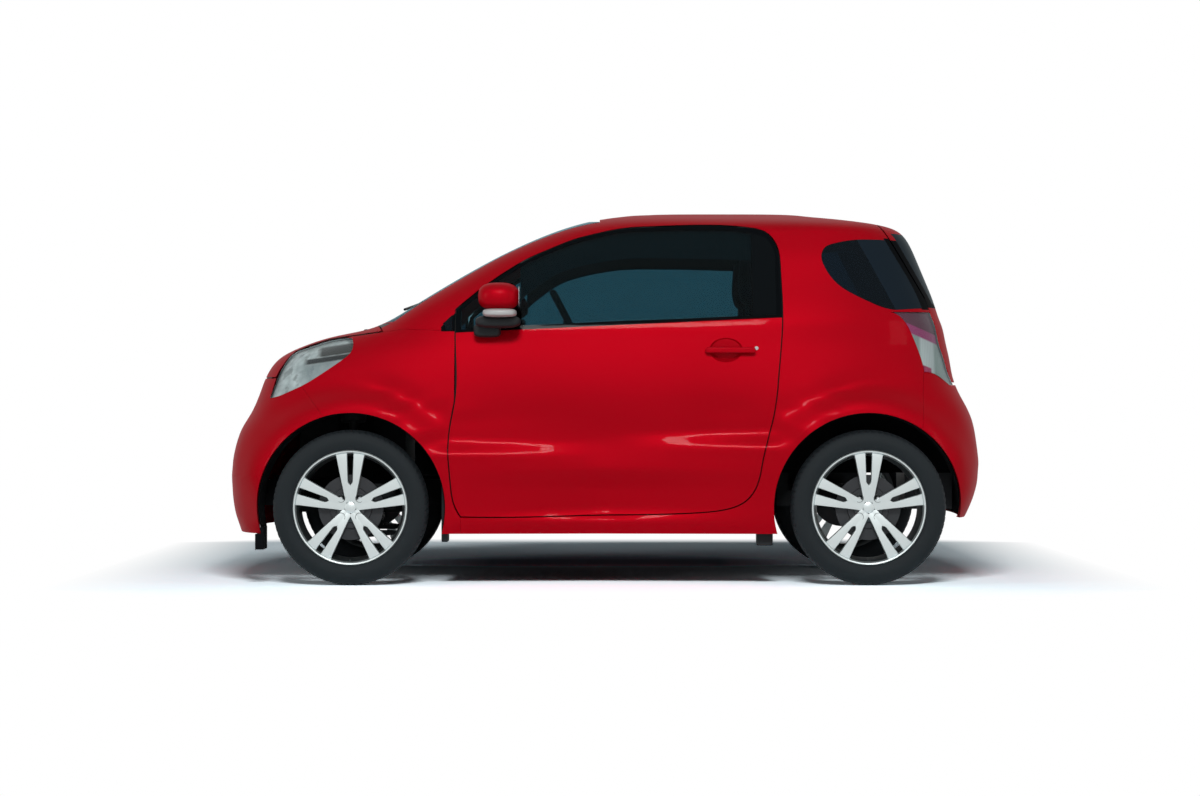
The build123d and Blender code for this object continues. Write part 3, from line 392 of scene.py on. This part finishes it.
def spokeGrid(angle, hand, axle, side):
    # one bar of a pair between two radii: its outer edge at a = hubHalf + spread (r - 0.055), its inner edge
    # along the slot, its face flat with narrow chamfers
    r = np.concatenate([np.linspace(0.020, wheel["slotStart"] - 0.004, 8),
                        np.linspace(wheel["slotStart"], wheel["rimRadius"] - 0.009, 22)])
    outerEdge = wheel["hubHalf"] + wheel["spread"] * np.maximum(r - 0.055, -0.020)
    opening = np.clip((r - wheel["slotStart"]) / 0.012, 0, 1) ** 0.5
    slot = (wheel["slotHalf"] + wheel["slotGrowth"] * (r - wheel["slotStart"])) * opening
    innerEdge = np.where(r < wheel["slotStart"], -0.002, slot)
    share = (r - r[0]) / (r[-1] - r[0])
    face = wheel["faceOffset"] - 0.014 * (1 - share) ** 2 - 0.004 * share ** 4
    depth = 0.026 + 0.012 * (1 - share)
    middle, half = (outerEdge + innerEdge) / 2, (outerEdge - innerEdge) / 2
    section = np.array([(-1, -1), (-1, -0.10), (-0.90, -0.01), (-0.4, 0.0),
                        (0.4, 0.0), (0.90, -0.01), (1, -0.10), (1, -1)])
    across = hand * (middle[:, None] + half[:, None] * section[None, :, 0])
    rise = face[:, None] + depth[:, None] * section[None, :, 1]
    u, v = math.cos(angle), math.sin(angle)
    x = axle[0] + r[:, None] * u - across * v
    z = axle[2] + r[:, None] * v + across * u
    y = axle[1] + side * rise
    return gridPart(np.stack([x, y, z], axis=-1), closeColumns=True, capRows=True)


def boltPart(centre, side, radius, low, high, sides=6, first=0.0):
    # a short prism with a rounded end, standing out along the axle
    profile = [(0.0001, low), (radius, low), (radius, high - 0.002), (radius * 0.8, high), (0.0001, high)]
    return gridPart(turned(profile, sides, centre, side, first), closeRows=True)


def makeWheel(corner, sideName, body):
    low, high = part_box(f"tyre_{corner}_{sideName}")
    axle = (np.asarray(low) + np.asarray(high)) / 2
    side = -1 if sideName == "left" else 1
    name = corner + sideName.capitalize()
    tyreNode, rimNode = f"tyre_{corner}_{sideName}", f"rim_{corner}_{sideName}"
    makePiece("tyre" + name, [tyreGrid(axle, side)], [tyreRubber], body, [tyreNode], 30)
    R = wheel["rimRadius"]
    half = wheel["tyreWidth"] / 2
    barrel = [
        (R - 0.001, half - 0.013), (R - 0.004, half - 0.0095), (R - 0.009, half - 0.0105),
        (R - 0.015, half - 0.020), (R - 0.019, half - 0.036), (R - 0.026, 0.0),
        (R - 0.026, -half + 0.020), (R - 0.012, -half + 0.012), (R - 0.003, -half + 0.012),
        (R - 0.006, -half + 0.024), (R - 0.020, 0.0), (R - 0.012, half - 0.040),
    ]
    rim = gridPart(turned(barrel, wheel["rimSteps"], axle, side), closeRows=True, closeColumns=True)
    column = np.arange(wheel["rimSteps"] * len(barrel)) % len(barrel)
    # painted shade: the inside of the barrel takes the dark alloy
    shade = np.where((column >= 3) & (column <= 8), 1, 0)  # the inside of the barrel is darker
    parts = [rim + (shade.tolist(),)]
    for pair in range(wheel["pairs"]):
        angle = math.pi / 2 + 2 * math.pi * pair / wheel["pairs"]
        parts += [spokeGrid(angle, hand, axle, side) for hand in (-1, 1)]
    face = wheel["faceOffset"]
    H = wheel["hubRadius"]
    # painted shade: the hub behind the spokes takes the dark alloy
    hub = [(0.0001, face - 0.020), (H - 0.004, face - 0.030), (H, face - 0.034), (H + 0.004, face - 0.058),
           (0.0001, face - 0.058)]
    parts.append(gridPart(turned(hub, 48, axle, side), closeRows=True) + (1,))
    cap = [(0.0001, face - 0.0095), (0.016, face - 0.0100), (0.021, face - 0.0120), (0.023, face - 0.018),
           (0.0001, face - 0.020)]
    parts.append(gridPart(turned(cap, 40, axle, side), closeRows=True))
    makePiece("rim" + name, parts, [alloy, darkAlloy], body, [rimNode], 40)
    fittings = []
    for bolt in range(wheel["bolts"]):
        angle = math.pi / 4 + math.pi / 2 * bolt
        centre = (axle[0] + wheel["boltCircle"] * math.cos(angle), axle[1],
                  axle[2] + wheel["boltCircle"] * math.sin(angle))
        cup = wheel["recess"]
        # painted shade: each bolt's well takes the dark alloy
        well = [(0.0001, face - 0.031), (cup - 0.0015, face - 0.031), (cup - 0.0015, face - 0.010),
                (cup, face - 0.010), (cup, face - 0.040), (0.0001, face - 0.040)]
        fittings.append(gridPart(turned(well, 28, centre, side), closeRows=True) + (1,))
        fittings.append(boltPart(centre, side, wheel["nut"], face - 0.032, face - 0.014, 6, 0.3))
    valve = (axle[0], axle[1], axle[2] - (R - 0.020))
    fittings.append(boltPart(valve, side, 0.0035, half - 0.05, half - 0.014, 12) + (1,))
    makePiece("bolts" + name, fittings, [steel, darkAlloy], body, (), 40)
    disc = [(0.05, 0.026), (0.052, 0.038), (0.080, 0.038), (0.082, 0.028), (0.126, 0.028), (0.126, 0.012),
            (0.05, 0.012)]
    makePiece("disc" + name, [gridPart(turned(disc, 72, axle, side), closeRows=True, closeColumns=True)],
              [discSteel], body, (), 30)


def makeRubber():
    tree = Tree("tyreRubber")
    fine = tree.noise(500.0, 3.0)
    slow = tree.noise(9.0, 3.0)
    base = tree.mix(slow, (0.0055, 0.0090, 0.0110), (0.0085, 0.0135, 0.0165))
    return tree.done(tree.surface(Base_Color=base, Roughness=0.62 + fine * 0.15, Specular_IOR_Level=0.25,
                                  Normal=tree.bump(fine, 0.25, 0.0005)))


tyreRubber = makeRubber()
for corner in ("front", "rear"):
    for sideName in ("left", "right"):
        makeWheel(corner, sideName, f"wheel_{corner}_{sideName}")
print("wheels made")


# points read off the frame's own surfaces
trees = {}


def surfaceOf(name):
    if name not in trees:
        trees[name] = BVHTree.FromObject(nodes[name], bpy.context.evaluated_depsgraph_get())
    return trees[name]


def skinY(x, z, names, side=-1):
    # where a line along y from outside first meets one of the named nodes
    found = []
    for name in names:
        hit = surfaceOf(name).ray_cast(Vector((x, side * 2.0, z)), Vector((0, -side, 0)))[0]
        if hit:
            found.append(abs(hit.y))
    return max(found) if found else None


def outlineOf(name, centre, count):
    # the left node's outline seen along y: on each ray from the centre, the last radius that still meets it
    reach, coarse = 1.2, 0.005
    points = []
    for angle in np.linspace(0, 2 * np.pi, count, endpoint=False):
        u, v = math.cos(angle), math.sin(angle)
        radii = np.arange(reach, 0.0, -coarse)
        low = next((r for r in radii if skinY(centre[0] + r * u, centre[1] + r * v, [name])), 0.0)
        high = low + coarse
        for step in range(6):
            middle = (low + high) / 2
            if skinY(centre[0] + middle * u, centre[1] + middle * v, [name]):
                low = middle
            else:
                high = middle
        points.append((centre[0] + low * u, centre[1] + low * v))
    return np.array(points)


def smoothLoop(values, passes):
    # a closed row averaged with its neighbours a few times
    for step in range(passes):
        values = (np.roll(values, 1, axis=0) + 2 * values + np.roll(values, -1, axis=0)) / 4
    return values


def block(low, high):
    # a plain box as a grid of four corners carried between two ends
    a, b = np.asarray(low, dtype=float), np.asarray(high, dtype=float)
    ring = np.array([(a[1], a[2]), (b[1], a[2]), (b[1], b[2]), (a[1], b[2])])
    points = np.array([[(x, y, z) for y, z in ring] for x in (a[0], b[0])])
    return gridPart(points, closeColumns=True, capRows=True)


def tube(points, radius, count=40, sides=12):
    path = curveThrough(points, count) if len(points) > 2 else np.linspace(points[0], points[1], count)
    ring = roundProfile(2 * radius, 2 * radius, 2.0, sides)
    return gridPart(carried(path, ring, (0.01, 0.02, 1)), closeColumns=True, capRows=True)


def both(parts):
    return list(parts) + [mirrored(part) for part in parts]


# seals behind the shut gaps, so that no light passes between panels
seal = {
    "rays": 150, "centre": (0.05, 0.80), "inside": 0.008, "lost": 0.70,
    "band": [(0.0075, 0.030), (0.0075, 0.037), (-0.006, 0.037), (-0.006, 0.030)],  # (growth, step back)
    "bonnetHalf": 0.52, "bonnetHeight": 0.8015, "bonnetStep": 0.016, "bonnetRadius": 0.0055,
    "flaps": [((-0.634, -0.752, 0.165), (-0.610, -0.600, 0.425)),
              ((0.588, -0.735, 0.150), (0.650, -0.640, 0.206))],
}


def doorSeal(side):
    # a band just behind the door's outline: grown and shrunk, at the skin's depth plus a step
    names = ["door_panel_left", "door_glass_left", "side_frame_left"]
    centre = np.array(seal["centre"])
    edge = smoothLoop(outlineOf("door_panel_left", centre, seal["rays"]), 2)
    out = edge - centre
    out /= np.linalg.norm(out, axis=1, keepdims=True)
    spots = edge - seal["inside"] * out
    depth = np.array([skinY(*spot, names) or seal["lost"] for spot in spots])
    near = np.stack([np.roll(depth, shift) for shift in range(-4, 5)])
    depth = smoothLoop(np.median(near, axis=0), 3)  # a ray that slips through a gap doesn't count
    rows = []
    for grow, back in seal["band"]:
        flat = edge + grow * out
        rows.append(np.column_stack([flat[:, 0], side * (depth - back), flat[:, 1]]))
    return gridPart(np.stack(rows, axis=1), closeRows=True, closeColumns=True)


def skinX(y, z):
    # where a line from the front first meets the bumper
    hit = surfaceOf("front_bumper").ray_cast(Vector((-3.0, y, z)), Vector((1, 0, 0)))[0]
    return hit.x if hit else None


def skinZ(x, y, name):
    # the height at which a line from above meets a node
    hit = surfaceOf(name).ray_cast(Vector((x, y, 3.0)), Vector((0, 0, -1)))[0]
    return hit.z if hit else None


def bonnetSeal():
    # a soft tube behind the gap between bonnet and bumper
    path = []
    for y in np.linspace(-seal["bonnetHalf"], seal["bonnetHalf"], 41):
        x = skinX(y, 0.785)
        if x:
            path.append((x + seal["bonnetStep"], y, seal["bonnetHeight"]))
    return tube(path, seal["bonnetRadius"], 80, 10)


makePiece("doorSeals", [doorSeal(-1), doorSeal(1)], [rubber], "body", (), 40)
makePiece("bonnetSeal", [bonnetSeal()], [rubber], "body", (), 40)
flaps = both([block(*corners) for corners in seal["flaps"]])
makePiece("mudFlaps", flaps, [blackTrim], "body", (), 40, bevel=0.002)
print("seals made")


# lamps: a clear lens from the node's own skin, with reflectors behind it
def nodeFaces(name, side, outward, inset=0.0):
    # the faces of a node that look outwards to one side, or all its others, moved inwards by an inset
    work = bmesh.new()
    work.from_mesh(nodes[name].data)
    bmesh.ops.remove_doubles(work, verts=work.verts, dist=1e-5)
    work.normal_update()
    other = [face for face in work.faces if (face.normal.y * side >= 0.02) != outward]
    bmesh.ops.delete(work, geom=other, context="FACES")
    work.normal_update()
    points = np.array([vertex.co - vertex.normal * inset for vertex in work.verts])
    faces = [[vertex.index for vertex in face.verts] for face in work.faces]
    work.free()
    return points, faces


def makeHeadlampInside():
    # bright and smoked reflectors, told apart by where they lie along the lamp
    tree = Tree("headlampInside")
    x, y, z = tree.axes()
    fine = tree.noise(26.0, 4.0)
    facets = tree.node("ShaderNodeTexVoronoi", {}, {"Vector": tree.place(), "Scale": 34.0})
    bright = tree.mix(facets, (0.78, 0.84, 0.83), (0.42, 0.48, 0.48))
    bright = tree.mix(fine.above(0.60, 0.12) * 0.5, bright, (0.10, 0.12, 0.12))
    along = (x + 1.166) / 0.184
    middle = 0.862 + along * 0.026
    divider = (z - middle).magnitude().below(0.010, 0.006) * x.above(-1.17, 0.02)
    smoked = z.above(middle + 0.012, 0.006) * z.below(middle + 0.050, 0.008) * x.above(-1.115, 0.02)
    lower = z.below(middle - 0.006, 0.02) * x.above(-1.185, 0.05)
    colour = tree.mix(lower * 0.75, bright, (0.22, 0.27, 0.28))
    colour = tree.mix(smoked, colour, (0.035, 0.035, 0.032))
    colour = tree.mix(divider, colour, (0.002, 0.004, 0.005))
    return tree.done(tree.surface(Base_Color=colour, Metallic=0.55 - (divider + smoked).clamped() * 0.5,
                                  Roughness=0.30 + fine * 0.15))


def makeTailInside():
    # bands from the top: dark red, magenta, clear with light bars, magenta, clear
    tree = Tree("tailLampInside")
    x, y, z = tree.axes()
    level = z + (x - 1.13) * 0.39
    ribs = (x * 900.0).sine() * 0.06 + 0.94
    pale = tree.mix(((x - 1.225) * 46.0).sine().above(0.2, 0.5), (0.36, 0.47, 0.44), (0.72, 0.80, 0.79))
    colour = tree.mix(level.above(1.000, 0.006), pale, (0.42, 0.022, 0.19))
    colour = tree.mix(level.above(1.034, 0.004), colour, (0.10, 0.002, 0.035))
    lowBand = level.below(0.895, 0.005) * level.above(0.850, 0.005) * x.below(1.275, 0.006)
    colour = tree.mix(lowBand, colour, (0.50, 0.010, 0.12))
    colour = tree.mix(level.below(0.850, 0.006), colour, (0.60, 0.70, 0.75))
    shade = tree.node("ShaderNodeVectorMath", {"operation": "SCALE"}, {0: colour, "Scale": ribs})
    return tree.done(tree.surface(Base_Color=shade, Roughness=0.35, Metallic=0.15))


headlampInside = makeHeadlampInside()
tailInside = makeTailInside()


def makeLamps():
    kinds = (("headlamp_", headlampInside, "headlamp"), ("tail_lamp_", tailInside, "tailLamp"))
    for side, sideName in ((-1, "left"), (1, "right")):
        for name, inside, piece in kinds:
            node = name + sideName
            title = piece + sideName.capitalize()
            lens = [nodeFaces(node, side, True), nodeFaces(node, side, False) + (1,)]
            makePiece(title + "Lens", lens, [lampClear, blackTrim], "body", [node], 30)
            behind = [nodeFaces(node, side, True, 0.007)]
            makePiece(title + "Inside", behind, [inside], "body", (), 30, solid=False)


makeLamps()
print("lamps made")


# seats and bench: stuffed pads over plain frames
cabin = {
    "voxel": 0.011, "pressure": 4.0, "swell": 0.022, "inset": 0.012, "frames": 20,
    "seatY": 0.33, "seatHalf": 0.245, "headHalf": 0.130, "benchHalf": 0.505, "channels": 31.4,
    "cushion": [(0.007, 0.375), (0.020, 0.545), (0.395, 0.520), (0.417, 0.375)],
    "back": [(0.385, 0.500), (0.527, 1.050), (0.597, 1.045), (0.457, 0.425)],
    "headrest": [(0.532, 1.085), (0.547, 1.315), (0.617, 1.305), (0.602, 1.075)],
    "benchCushion": [(0.687, 0.445), (0.687, 0.575), (1.055, 0.556), (1.150, 0.445)],
    "benchBack": [(1.060, 0.545), (1.157, 1.025), (1.193, 1.015), (1.157, 0.545)],
}


def quadPad(corners, y, half, power=5.0):
    # a superellipsoid bent into a four-cornered section: corners front low, front high, rear high, rear low
    corners = np.asarray(corners, dtype=float)
    inset = cabin["inset"]
    middle = corners.mean(axis=0)
    reach = np.linalg.norm(corners - middle, axis=1, keepdims=True)
    corners = middle + (corners - middle) * (reach - inset) / reach
    points, faces = pad((-1, -1, -1), (1, 1, 1), power, 40, 72)
    u, w = (points[:, :1] + 1) / 2, (points[:, 2:] + 1) / 2
    flat = (corners[0] * (1 - u) + corners[3] * u) * (1 - w) + (corners[1] * (1 - u) + corners[2] * u) * w
    return np.column_stack([flat[:, 0], y + points[:, 1] * (half - inset), flat[:, 1]]), faces


def stuffed(piece, swell):
    # cloth blown up from inside by air pressure, each point held within the swell of where it began
    even = piece.modifiers.new("even", "REMESH")
    even.mode = "VOXEL"
    even.voxel_size = cabin["voxel"]
    made = bpy.data.meshes.new_from_object(piece.evaluated_get(bpy.context.evaluated_depsgraph_get()))
    piece.modifiers.clear()
    piece.data = made
    start = np.array([vertex.co for vertex in made.vertices])
    cloth = piece.modifiers.new("stuffing", "CLOTH")
    cloth.settings.use_pressure = True
    cloth.settings.uniform_pressure_force = cabin["pressure"]
    cloth.settings.effector_weights.gravity = 0.0
    for step in range(1, cabin["frames"] + 1):
        scene.frame_set(step)
    blown = piece.evaluated_get(bpy.context.evaluated_depsgraph_get()).data
    move = np.array([vertex.co for vertex in blown.vertices]) - start
    length = np.linalg.norm(move, axis=1, keepdims=True)
    ends = start + move * np.minimum(1, swell / np.maximum(length, 1e-9))
    piece.modifiers.clear()
    made.vertices.foreach_set("co", ends.ravel())
    made.shade_smooth()
    scene.frame_set(1)
    finer = piece.modifiers.new("finer", "SUBSURF")
    finer.levels = finer.render_levels = 1


def makeCloth():
    # dark woven cloth: fine crossing threads, and sewn channels every tenth of a metre
    tree = Tree("seatCloth")
    x, y, z = tree.axes()
    threads = (x * 2600.0).sine() * (y * 2600.0).sine() + (z * 2600.0).sine()
    left, right = [((y + side * cabin["seatY"]) * cabin["channels"]).sine().magnitude() for side in (1, -1)]
    channel = left.above(0.06, 0.05) * right.above(0.06, 0.05)
    slow = tree.noise(12.0, 3.0)
    colour = tree.mix(slow, (0.012, 0.020, 0.030), (0.020, 0.031, 0.044))
    height = threads * 0.06 + channel
    return tree.done(tree.surface(Base_Color=colour, Roughness=0.85 + threads * 0.05, Specular_IOR_Level=0.2,
                                  Normal=tree.bump(height, 0.5, 0.002)))


seatCloth = makeCloth()


def makeSeats():
    for side, name in ((-1, "Left"), (1, "Right")):
        y = side * cabin["seatY"]
        node = ["seat_" + name.lower()]
        for title, wide, share in (("cushion", cabin["seatHalf"], 1.0), ("back", cabin["seatHalf"], 1.0),
                                   ("headrest", cabin["headHalf"], 0.5)):
            part = quadPad(cabin[title], y, wide)
            title = "seat" + name + title.capitalize()
            stuffed(makePiece(title, [part], [seatCloth], "body", node), cabin["swell"] * share)
        supports = [block((0.037, y - 0.15, 0.245), (0.357, y + 0.15, 0.385))]
        for k in (-1, 1):
            post, rail = y + k * 0.05, y + k * 0.15
            supports.append(tube([(0.565, post, 0.995), (0.567, post, 1.095)], 0.006, 6, 12))
            supports.append(block((0.02, rail - 0.02, 0.222), (0.38, rail + 0.02, 0.250)))
        title = "seat" + name + "Frame"
        makePiece(title, supports, [cabinPlastic], "body", (), 40, bevel=0.002)
    for title in ("benchCushion", "benchBack"):
        part = quadPad(cabin[title], 0.0, cabin["benchHalf"], 8.0)
        piece = makePiece(title, [part], [seatCloth], "body", ["rear_bench"])
        stuffed(piece, cabin["swell"] * 0.6)


makeSeats()
print("seats made")


# mirrors, wipers and other small parts
mirror = {  # (low corner, high corner, roundness) for the left side with y turned outwards, and its material
    "shell": ((-0.488, 0.780, 1.060), (-0.330, 0.960, 1.166), 2.7, 0),
    "strip": ((-0.470, 0.800, 1.033), (-0.340, 0.959, 1.066), 3.5, 1),
    "glass": ((-0.3335, 0.800, 1.072), (-0.3270, 0.940, 1.152), 2.7, 2),
    "arm": ((-0.500, 0.790, 0.992), (-0.325, 0.900, 1.042), 3.0, 3),
    "foot": ((-0.508, 0.735, 0.957), (-0.403, 0.830, 1.012), 4.0, 3),
}


def makeMirrors():
    for side, name in ((-1, "left"), (1, "right")):
        parts = []
        for low, high, power, number in mirror.values():
            near, far = sorted((side * low[1], side * high[1]))
            parts.append(pad((low[0], near, low[2]), (high[0], far, high[2]), power, 24, 40) + (number,))
        makePiece("mirror" + name.capitalize(), parts, [paint, stripWhite, chrome, blackTrim], "door_" + name,
                  ["mirror_" + name], 50)


def cantRail(side):
    # inner trim over the door window: from the roof's inside down to the line seen through the glass
    lower = curveThrough([(-0.330, 1.100), (-0.285, 1.140), (-0.165, 1.216), (0.046, 1.263), (0.250, 1.268),
                          (0.425, 1.265), (0.640, 1.258)], 56)
    y = np.array([(skinY(a, b, ["door_glass_left"]) or 0.60) for a, b in lower])
    y = np.convolve(np.pad(y, 4, mode="edge"), np.ones(9) / 9, mode="valid") - 0.048
    top = []
    for a, b in zip(lower[:, 0], y - 0.035):
        found = [skinZ(a, -b, name) for name in ("roof_panel", "side_frame_left", "windscreen")]
        top.append(max([z for z in found if z] or [1.40]) - 0.009)
    top = np.convolve(np.pad(np.array(top), 4, mode="edge"), np.ones(9) / 9, mode="valid")
    rows = [np.column_stack([lower[:, 0], side * across, height]) for across, height in
            ((y, lower[:, 1]), (y - 0.012, lower[:, 1]), (y - 0.045, top), (y - 0.033, top))]
    return gridPart(np.stack(rows, axis=1), closeColumns=True, capRows=True)


def onScreen(x, y, lift):
    # a point just above the windscreen or the bonnet
    found = [skinZ(x, y, name) for name in ("windscreen", "cowl_panel", "bonnet")]
    return (x, y, max([z for z in found if z] or [1.0]) + lift)


small = {
    "wipers": [((-0.800, -0.30), (-0.700, 0.28)), ((-0.790, 0.28), (-0.740, -0.02))],  # feet and tips
    "wiperLift": 0.016, "wiperRadius": 0.0055, "nozzleX": -0.955, "nozzleY": 0.25, "keyPlace": (0.585, 0.915),
    "keyProfile": [(0.0001, 0.0018), (0.0065, 0.0015), (0.0080, 0.0), (0.0080, -0.004), (0.0001, -0.004)],
}


def makeSmallParts():
    makePiece("cantRails", [cantRail(-1), cantRail(1)], [cabinPlastic], "body", (), 40)
    wipers = []
    for foot, tip in small["wipers"]:
        flat = np.linspace(foot, tip, 9)
        path = [onScreen(x, y, small["wiperLift"]) for x, y in flat]
        wipers.append(tube(path, small["wiperRadius"], 40, 8))
    makePiece("wipers", wipers, [blackTrim], "body", (), 40)
    nozzles = []
    for side in (-1, 1):
        x, y, z = onScreen(small["nozzleX"], side * small["nozzleY"], 0.0)
        nozzles.append(pad((x - 0.012, y - 0.011, z - 0.004), (x + 0.012, y + 0.011, z + 0.006), 2.5, 10, 20))
    makePiece("washerNozzles", nozzles, [blackTrim], "bonnet", (), 40)
    keyX, keyZ = small["keyPlace"]
    for side, name in ((-1, "left"), (1, "right")):
        depth = skinY(keyX, keyZ, ["door_panel_left"])
        lock = gridPart(turned(small["keyProfile"], 24, (keyX, side * depth, keyZ), side), closeRows=True)
        makePiece("keyhole" + name.capitalize(), [lock], [steel], "door_" + name, (), 40)


makeMirrors()
makeSmallParts()
print("small parts made")


# finishes for the nodes carried over from the frame
finishes = {
    "side_frame": cornerPaint, "wing": cornerPaint, "door_panel": doorPaint, "tailgate_panel": gatePaint,
    "roof_panel": paint, "bonnet": paint, "front_bumper": paint, "rear_bumper": paint,
    "windscreen": tintGlass, "door_glass": doorGlass, "quarter_glass": quarterGlass,
    "tailgate_glass": quarterGlass, "cowl_panel": blackTrim, "front_grille": blackTrim,
    "door_trim": cabinPlastic, "dashboard": cabinPlastic, "steering_wheel": cabinPlastic,
    "underbody": underside, "arch_liners": underside, "engine_block": castIron, "exhaust": discSteel,
    "front_suspension": castIron, "strut": castIron, "knuckle": castIron, "rear_axle": castIron,
    # these are replaced by pieces above, and keep a finish all the same
    "headlamp": lampClear, "tail_lamp": lampClear, "mirror": paint, "seat": cabinPlastic,
    "rear_bench": cabinPlastic,
}
for name, node in nodes.items():
    for start, material in finishes.items():
        if name.startswith(start):
            for slotHolder in node.material_slots:
                slotHolder.material = material
print("finishes set")


# floor, light and camera
# the second floor tint is a painted shadow: the floor's colour as seen behind and under the car
studio = {
    "floorColour": 0.80, "floorSeen": 3.0, "openTint": (0.94, 1.06, 1.12), "paintedShadowTint": (0.06, 0.12, 0.15),
    "nearSide": 1.9, "nearFar": 3.6, "nearFront": -1.35, "soft": 0.5, "worldLight": 0.012,
    "worldColour": (0.60, 0.90, 1.0), "keyPlace": (0.0, -11.0, 6.6), "keySize": (3.0, 1.6), "keyPower": 620.0,
    "aheadPower": 60.0, "behindPower": 40.0, "cameraPlace": (-0.0201, -14.83, 0.723), "lens": 109.08,
}


def makeFloor():
    # pale floor: brighter to the eye than in what it gives back, with a painted shadow seen darker and bluish
    # behind and under the car, and plain white away from the shadow
    tree = Tree("floorPale")
    rays = tree.node("ShaderNodeLightPath", {})
    outputs = rays.socket.node.outputs
    seen = sum((Link(tree, outputs[name]) for name in ("Is Glossy Ray", "Is Transmission Ray")),
               Link(tree, outputs["Is Camera Ray"])).clamped()
    a, b = studio["floorColour"], studio["floorSeen"]
    x, y, z = tree.axes()
    soft = studio["soft"]
    # painted shadow: a soft patch from under the car to a few metres behind it, seen darker on top of the
    # cast shadow
    behind = y.above(0.45, 1.1) * y.below(2.3, 1.8) * x.magnitude().below(1.25, 1.5)
    clear, paintedShadow = [tuple(b * c for c in studio[tint]) for tint in ("openTint", "paintedShadowTint")]
    tone = tree.mix(behind, clear, paintedShadow)
    near = tree.node("ShaderNodeBsdfDiffuse", {}, {"Color": tree.mix(seen, (a, a, a), tone)})
    white = tree.node("ShaderNodeEmission", {}, {"Color": (1, 1, 1, 1), "Strength": 1.0})
    away = x.magnitude().above(studio["nearSide"], soft) + y.above(studio["nearFar"], soft)
    away = away + y.below(studio["nearFront"], soft)
    material = tree.done(tree.node("ShaderNodeMixShader", {}, {0: seen * away.clamped(), 1: near, 2: white}))
    size = 60.0
    mesh = bpy.data.meshes.new("floor")
    corners = [(-size, -size, 0), (size, -size, 0), (size, size, 0), (-size, size, 0)]
    mesh.from_pydata(corners, [], [(0, 1, 2, 3)])
    mesh.materials.append(material)
    floor = bpy.data.objects.new("floor", mesh)
    scene.collection.objects.link(floor)


def makeWorld():
    world = bpy.data.worlds.new("studio")
    world.use_nodes = True
    scene.world = world
    tree = world.node_tree
    tree.nodes.clear()
    rays = tree.nodes.new("ShaderNodeLightPath")
    first = tree.nodes.new("ShaderNodeMath")
    second = tree.nodes.new("ShaderNodeMath")
    first.use_clamp = second.use_clamp = True
    tree.links.new(rays.outputs["Is Camera Ray"], first.inputs[0])
    tree.links.new(rays.outputs["Is Glossy Ray"], first.inputs[1])
    tree.links.new(first.outputs[0], second.inputs[0])
    tree.links.new(rays.outputs["Is Transmission Ray"], second.inputs[1])
    lit = tree.nodes.new("ShaderNodeBackground")
    lit.inputs["Color"].default_value = (*studio["worldColour"], 1)
    lit.inputs["Strength"].default_value = studio["worldLight"]
    seen = tree.nodes.new("ShaderNodeBackground")
    seen.inputs["Color"].default_value = (1, 1, 1, 1)
    mix = tree.nodes.new("ShaderNodeMixShader")
    out = tree.nodes.new("ShaderNodeOutputWorld")
    tree.links.new(second.outputs[0], mix.inputs[0])
    tree.links.new(lit.outputs[0], mix.inputs[1])
    tree.links.new(seen.outputs[0], mix.inputs[2])
    tree.links.new(mix.outputs[0], out.inputs[0])


def makeLamp(name, place, target, width, height, power):
    data = bpy.data.lights.new(name, "AREA")
    data.shape = "RECTANGLE"
    data.size, data.size_y, data.energy = width, height, power
    lamp = bpy.data.objects.new(name, data)
    lamp.location = place
    lamp.rotation_euler = (Vector(target) - Vector(place)).to_track_quat("-Z", "Y").to_euler()
    scene.collection.objects.link(lamp)


def makeCamera():
    data = bpy.data.cameras.new("camera")
    data.sensor_fit = "HORIZONTAL"
    data.sensor_width = 36.0
    data.lens = studio["lens"]
    data.clip_end = 200.0
    camera = bpy.data.objects.new("camera", data)
    camera.location = studio["cameraPlace"]
    camera.rotation_euler = (math.pi / 2, 0, 0)
    scene.collection.objects.link(camera)
    scene.camera = camera


makeFloor()
makeWorld()
makeCamera()
makeLamp("key", studio["keyPlace"], (0, 0, 0.6), *studio["keySize"], studio["keyPower"])
makeLamp("ahead", (-6.5, -4.5, 2.2), (-1.2, 0, 0.5), 2.0, 2.5, studio["aheadPower"])
makeLamp("behind", (6.5, -4.0, 2.0), (1.2, 0, 0.5), 2.0, 2.5, studio["behindPower"])
scene.view_settings.view_transform = "Standard"
print("studio ready")
